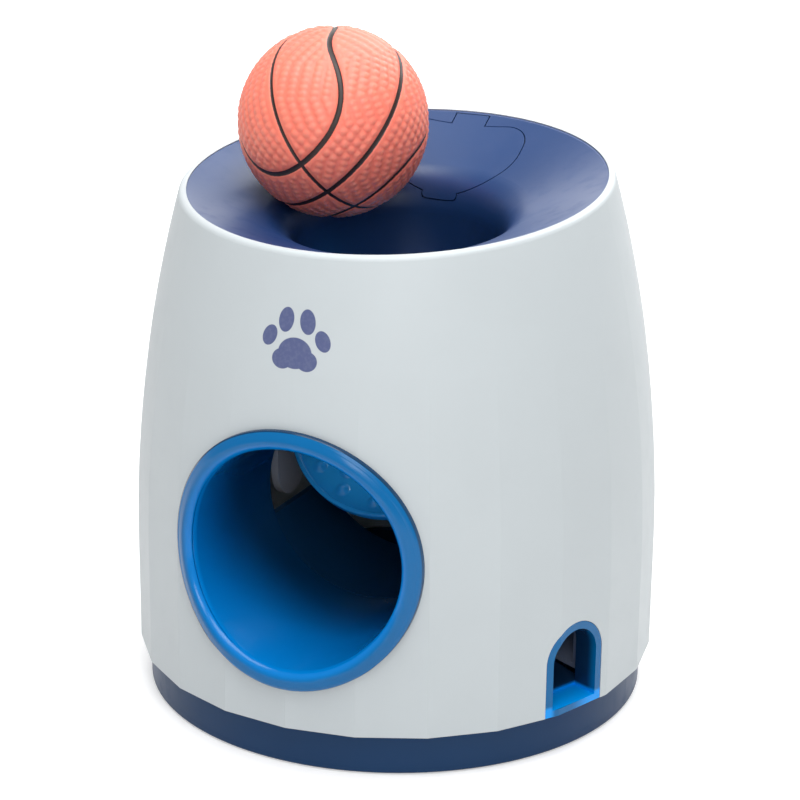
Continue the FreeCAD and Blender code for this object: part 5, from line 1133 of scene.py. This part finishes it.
@dataclass
class Studio:
    """Camera, lamps, sky and floor.

    The azimuth and the camera's angles are in degrees, its distance and height in millimetres,
    and the middle that the lamps look at is in metres. The backdrop is a range of the cosine
    of a ray's angle from the camera's line. The floor's glow grows over the floor_far range of
    distances from the toy.
    """

    azimuth: float = 23.2
    distance: float = 754.6
    height: float = 351.9
    yaw: float = 0.056
    pitch: float = 18.85
    roll: float = 0.596
    lens: float = 109.33
    sensor: float = 36.0
    clip: Pair = (0.01, 50.0)
    floor_radius: float = 4000.0
    floor_sides: int = 64
    floor_tones: tuple[Colour, Colour] = ((0.72, 0.72, 0.72), (0.7, 0.7, 0.705))
    floor_roughness: Pair = (0.6, 0.7)
    middle: float = 0.09
    sky: float = 0.38
    backdrop: Pair = (0.5, 0.95)
    floor_glow: Pair = (0.42, 0.85)
    floor_far: Pair = (300.0, 1500.0)
    lamps: tuple[Lamp, ...] = (
        Lamp("front", 27.0, 26.0, 1.3, 0.4, 3.2),
        Lamp("above_front", 28.0, 54.0, 1.3, 0.42, 3.1),
        Lamp("top", 10.0, 80.0, 1.2, 0.8, 11.2),
        Lamp("back", 165.0, 45.0, 1.3, 0.8, 9.0),
        Lamp("high_back", -130.0, 70.0, 1.3, 0.5, 0.6),
        Lamp("low_back", -152.0, 16.0, 1.5, 0.8, 2.4),
    )

    def camera(self) -> None:
        """Stand the camera where the photograph was taken from."""
        place = math.radians(self.azimuth)
        heading = place - math.radians(self.yaw)
        pitch, roll = math.radians(self.pitch), math.radians(self.roll)
        ahead, down = math.cos(pitch), math.sin(pitch)
        forward = Vector((-math.sin(heading) * ahead, math.cos(heading) * ahead, -down))
        level = Vector((math.cos(heading), math.sin(heading), 0.0))
        rise = level.cross(forward)
        right = level * math.cos(roll) + rise * math.sin(roll)
        up = rise * math.cos(roll) - level * math.sin(roll)
        data = bpy.data.cameras.new("camera")
        data.lens = self.lens
        data.sensor_width = self.sensor
        data.clip_start, data.clip_end = self.clip
        made = add_object("camera", data)
        turn = Matrix((right, up, -forward)).transposed().to_4x4()
        spot = Vector((math.sin(place) * self.distance, -math.cos(place) * self.distance, self.height)) * MM
        made.matrix_world = Matrix.Translation(spot) @ turn
        bpy.context.scene.camera = made

    def hang(self, lamp: Lamp) -> None:
        """Hang a square soft lamp that looks at the toy.

        Args:
            lamp: The lamp.
        """
        a, e = math.radians(lamp.azimuth), math.radians(lamp.elevation)
        back = Vector((math.sin(a) * math.cos(e), -math.cos(a) * math.cos(e), math.sin(e)))
        data = bpy.data.lights.new(lamp.name, "AREA")
        data.size = lamp.size
        data.energy = lamp.power
        made = add_object(lamp.name, data)
        made.rotation_mode = "QUATERNION"
        made.rotation_quaternion = (-back).to_track_quat("-Z", "Y")
        made.location = Vector((0.0, 0.0, self.middle)) + back * lamp.reach

    def world(self) -> None:
        """Sky: white to the camera, and a white backdrop behind the toy in reflections.

        The backdrop's share follows how far a ray runs along the line from the camera to the
        toy. As a light the sky is softer and even.
        """
        world = bpy.data.worlds.new("sky")
        bpy.context.scene.world = world
        world.use_nodes = True
        graph = Graph(world.node_tree)
        place = math.radians(self.azimuth)
        along = graph.node("ShaderNodeVectorMath", operation="DOT_PRODUCT")
        along.inputs[1].default_value = (-math.sin(place), math.cos(place), 0.0)
        graph.link(graph.node("ShaderNodeTexCoord").outputs["Generated"], along.inputs[0])
        behind = graph.ramp(along.outputs["Value"], *self.backdrop, 0.0, 1.0)
        path = graph.node("ShaderNodeLightPath").outputs
        mirrored = graph.math("ADD", path["Is Glossy Ray"], path["Is Transmission Ray"], clamp=True)
        white = graph.math("MULTIPLY_ADD", mirrored, behind, path["Is Camera Ray"], clamp=True)
        level = graph.node("ShaderNodeMapRange")
        graph.feed(level.inputs["To Min"], self.sky)
        graph.link(white, level.inputs["Value"])
        shade = graph.node("ShaderNodeBackground")
        graph.feed(shade.inputs["Color"], (1.0, 1.0, 1.0))
        graph.link(level.outputs[0], shade.inputs["Strength"])
        graph.link(shade.outputs[0], graph.node("ShaderNodeOutputWorld").inputs["Surface"])

    def floor(self) -> None:
        """Lay the pale floor, which glows as it is seen or mirrored, and more where it meets the sky."""
        graph = MaterialGraph("pale_floor")
        rough = graph.ramp(graph.noise(3.0), *NOISE_SPAN, *self.floor_roughness)
        graph.finish(graph.mix(graph.noise(1.5), *self.floor_tones), rough)
        path = graph.node("ShaderNodeLightPath").outputs
        straight = graph.math("ADD", path["Is Camera Ray"], path["Is Transmission Ray"])
        seen = graph.math("ADD", straight, path["Is Glossy Ray"], clamp=True)
        far = graph.ramp(graph.span(*graph.axes()[:2]), *self.floor_far, *self.floor_glow)
        glow = graph.math("MULTIPLY", seen, far)
        graph.feed(graph.shader.inputs["Emission Color"], (1.0, 1.0, 1.0))
        graph.link(glow, graph.shader.inputs["Emission Strength"])
        sides = self.floor_sides
        around = full_turn(sides)
        ring = np.c_[np.cos(around), np.sin(around), 0 * around] * self.floor_radius
        points = np.vstack([ring, [0.0, 0.0, 0.0]])
        turn = np.arange(0, sides, 2)
        faces = np.stack([np.full_like(turn, sides), turn, turn + 1, (turn + 2) % sides], axis=-1)
        mesh_object("floor", points, faces, graph.material)

    def build(self) -> None:
        """Set up everything round the toy."""
        self.camera()
        self.world()
        self.floor()
        for lamp in self.lamps:
            self.hang(lamp)
        bpy.context.scene.view_settings.view_transform = "Standard"


SHELL = PrintedPlastic("shell_plastic", (0.545, 0.591, 0.611), Polish.SOFT, blotch=0.02)
# Painted shade colour of the funnel's throat and the hatch.
NAVY_PAINTED_SHADE = (0.005, 0.013, 0.034)
NAVY_FUNNEL = FunnelPlastic(
    "navy_funnel", (0.0096, 0.048, 0.174), Polish.SATIN, specular=0.56, painted_shade=NAVY_PAINTED_SHADE
)
NAVY_LID = FunnelPlastic("navy_lid", (0.0096, 0.049, 0.177), Polish.SATIN, specular=0.56, painted_shade=NAVY_PAINTED_SHADE)
NAVY_BASE = Plastic("navy_base_plastic", (0.0084, 0.041, 0.116), Polish.SATIN, specular=0.18)
BLUE_TUNNEL = TunnelPlastic("blue_tunnel", (0.0, 0.13, 0.36), Polish.GLOSS, specular=0.3)
# The outlet's inner colour is painted light on its floor, its darker colour painted shade.
BLUE_OUTLET = OutletPlastic(
    "blue_outlet",
    (0.0, 0.13, 0.35),
    Polish.GLOSS,
    specular=0.28,
    painted_shade=(0.004, 0.026, 0.075),
    inner=(0.0, 0.32, 0.92),
)
# The paddle's blue, lighter than the tunnel's same blue, is painted light for its dim place inside.
BLUE_PADDLE_PAINTED_LIGHT = Plastic("blue_paddle_painted_light", (0.02, 0.35, 0.82), Polish.GLOSS)
INNER_BLUE = Plastic("inner_blue_plastic", (0.19, 0.23, 0.33), Polish.SATIN)
INNER_NAVY = Plastic("inner_navy_plastic", (0.004, 0.045, 0.12), Polish.SOFT, specular=0.2)
INNER_BLACK = Plastic("inner_black_plastic", (0.012, 0.013, 0.015), Polish.SOFT)
GUARD_GREY = Plastic("guard_grey_plastic", (0.5, 0.52, 0.56), Polish.SOFT)
INNER_GREY = Plastic("inner_grey_plastic", (0.16, 0.17, 0.18), Polish.SOFT)
ACETAL = Plastic("white_acetal", (0.68, 0.68, 0.64), Polish.SATIN)
RUBBER_GREY = Rubber("grey_rubber", (0.05, 0.052, 0.056))
RUBBER_BLACK = Rubber("black_rubber", (0.012, 0.012, 0.012), (0.06, 0.06, 0.06))
BRIGHT_STEEL = Steel("bright_steel")
WEIGHT_STEEL = Steel("weight_steel", (0.42, 0.43, 0.44), (2600.0, 60.0, 2600.0), 0.36)
SCREW_STEEL = Steel("screw_zinc", (0.52, 0.53, 0.55), (900.0, 900.0, 900.0), 0.34)


def main() -> None:
    """Build the classes in order and report each piece."""
    logging.basicConfig(level=logging.INFO, format="%(name)s: %(message)s")
    Studio().build()
    Body().build()
    Funnel().build()
    Passages().build()
    Works().build()
    Ball().build()


if __name__ == "__main__":
    main()
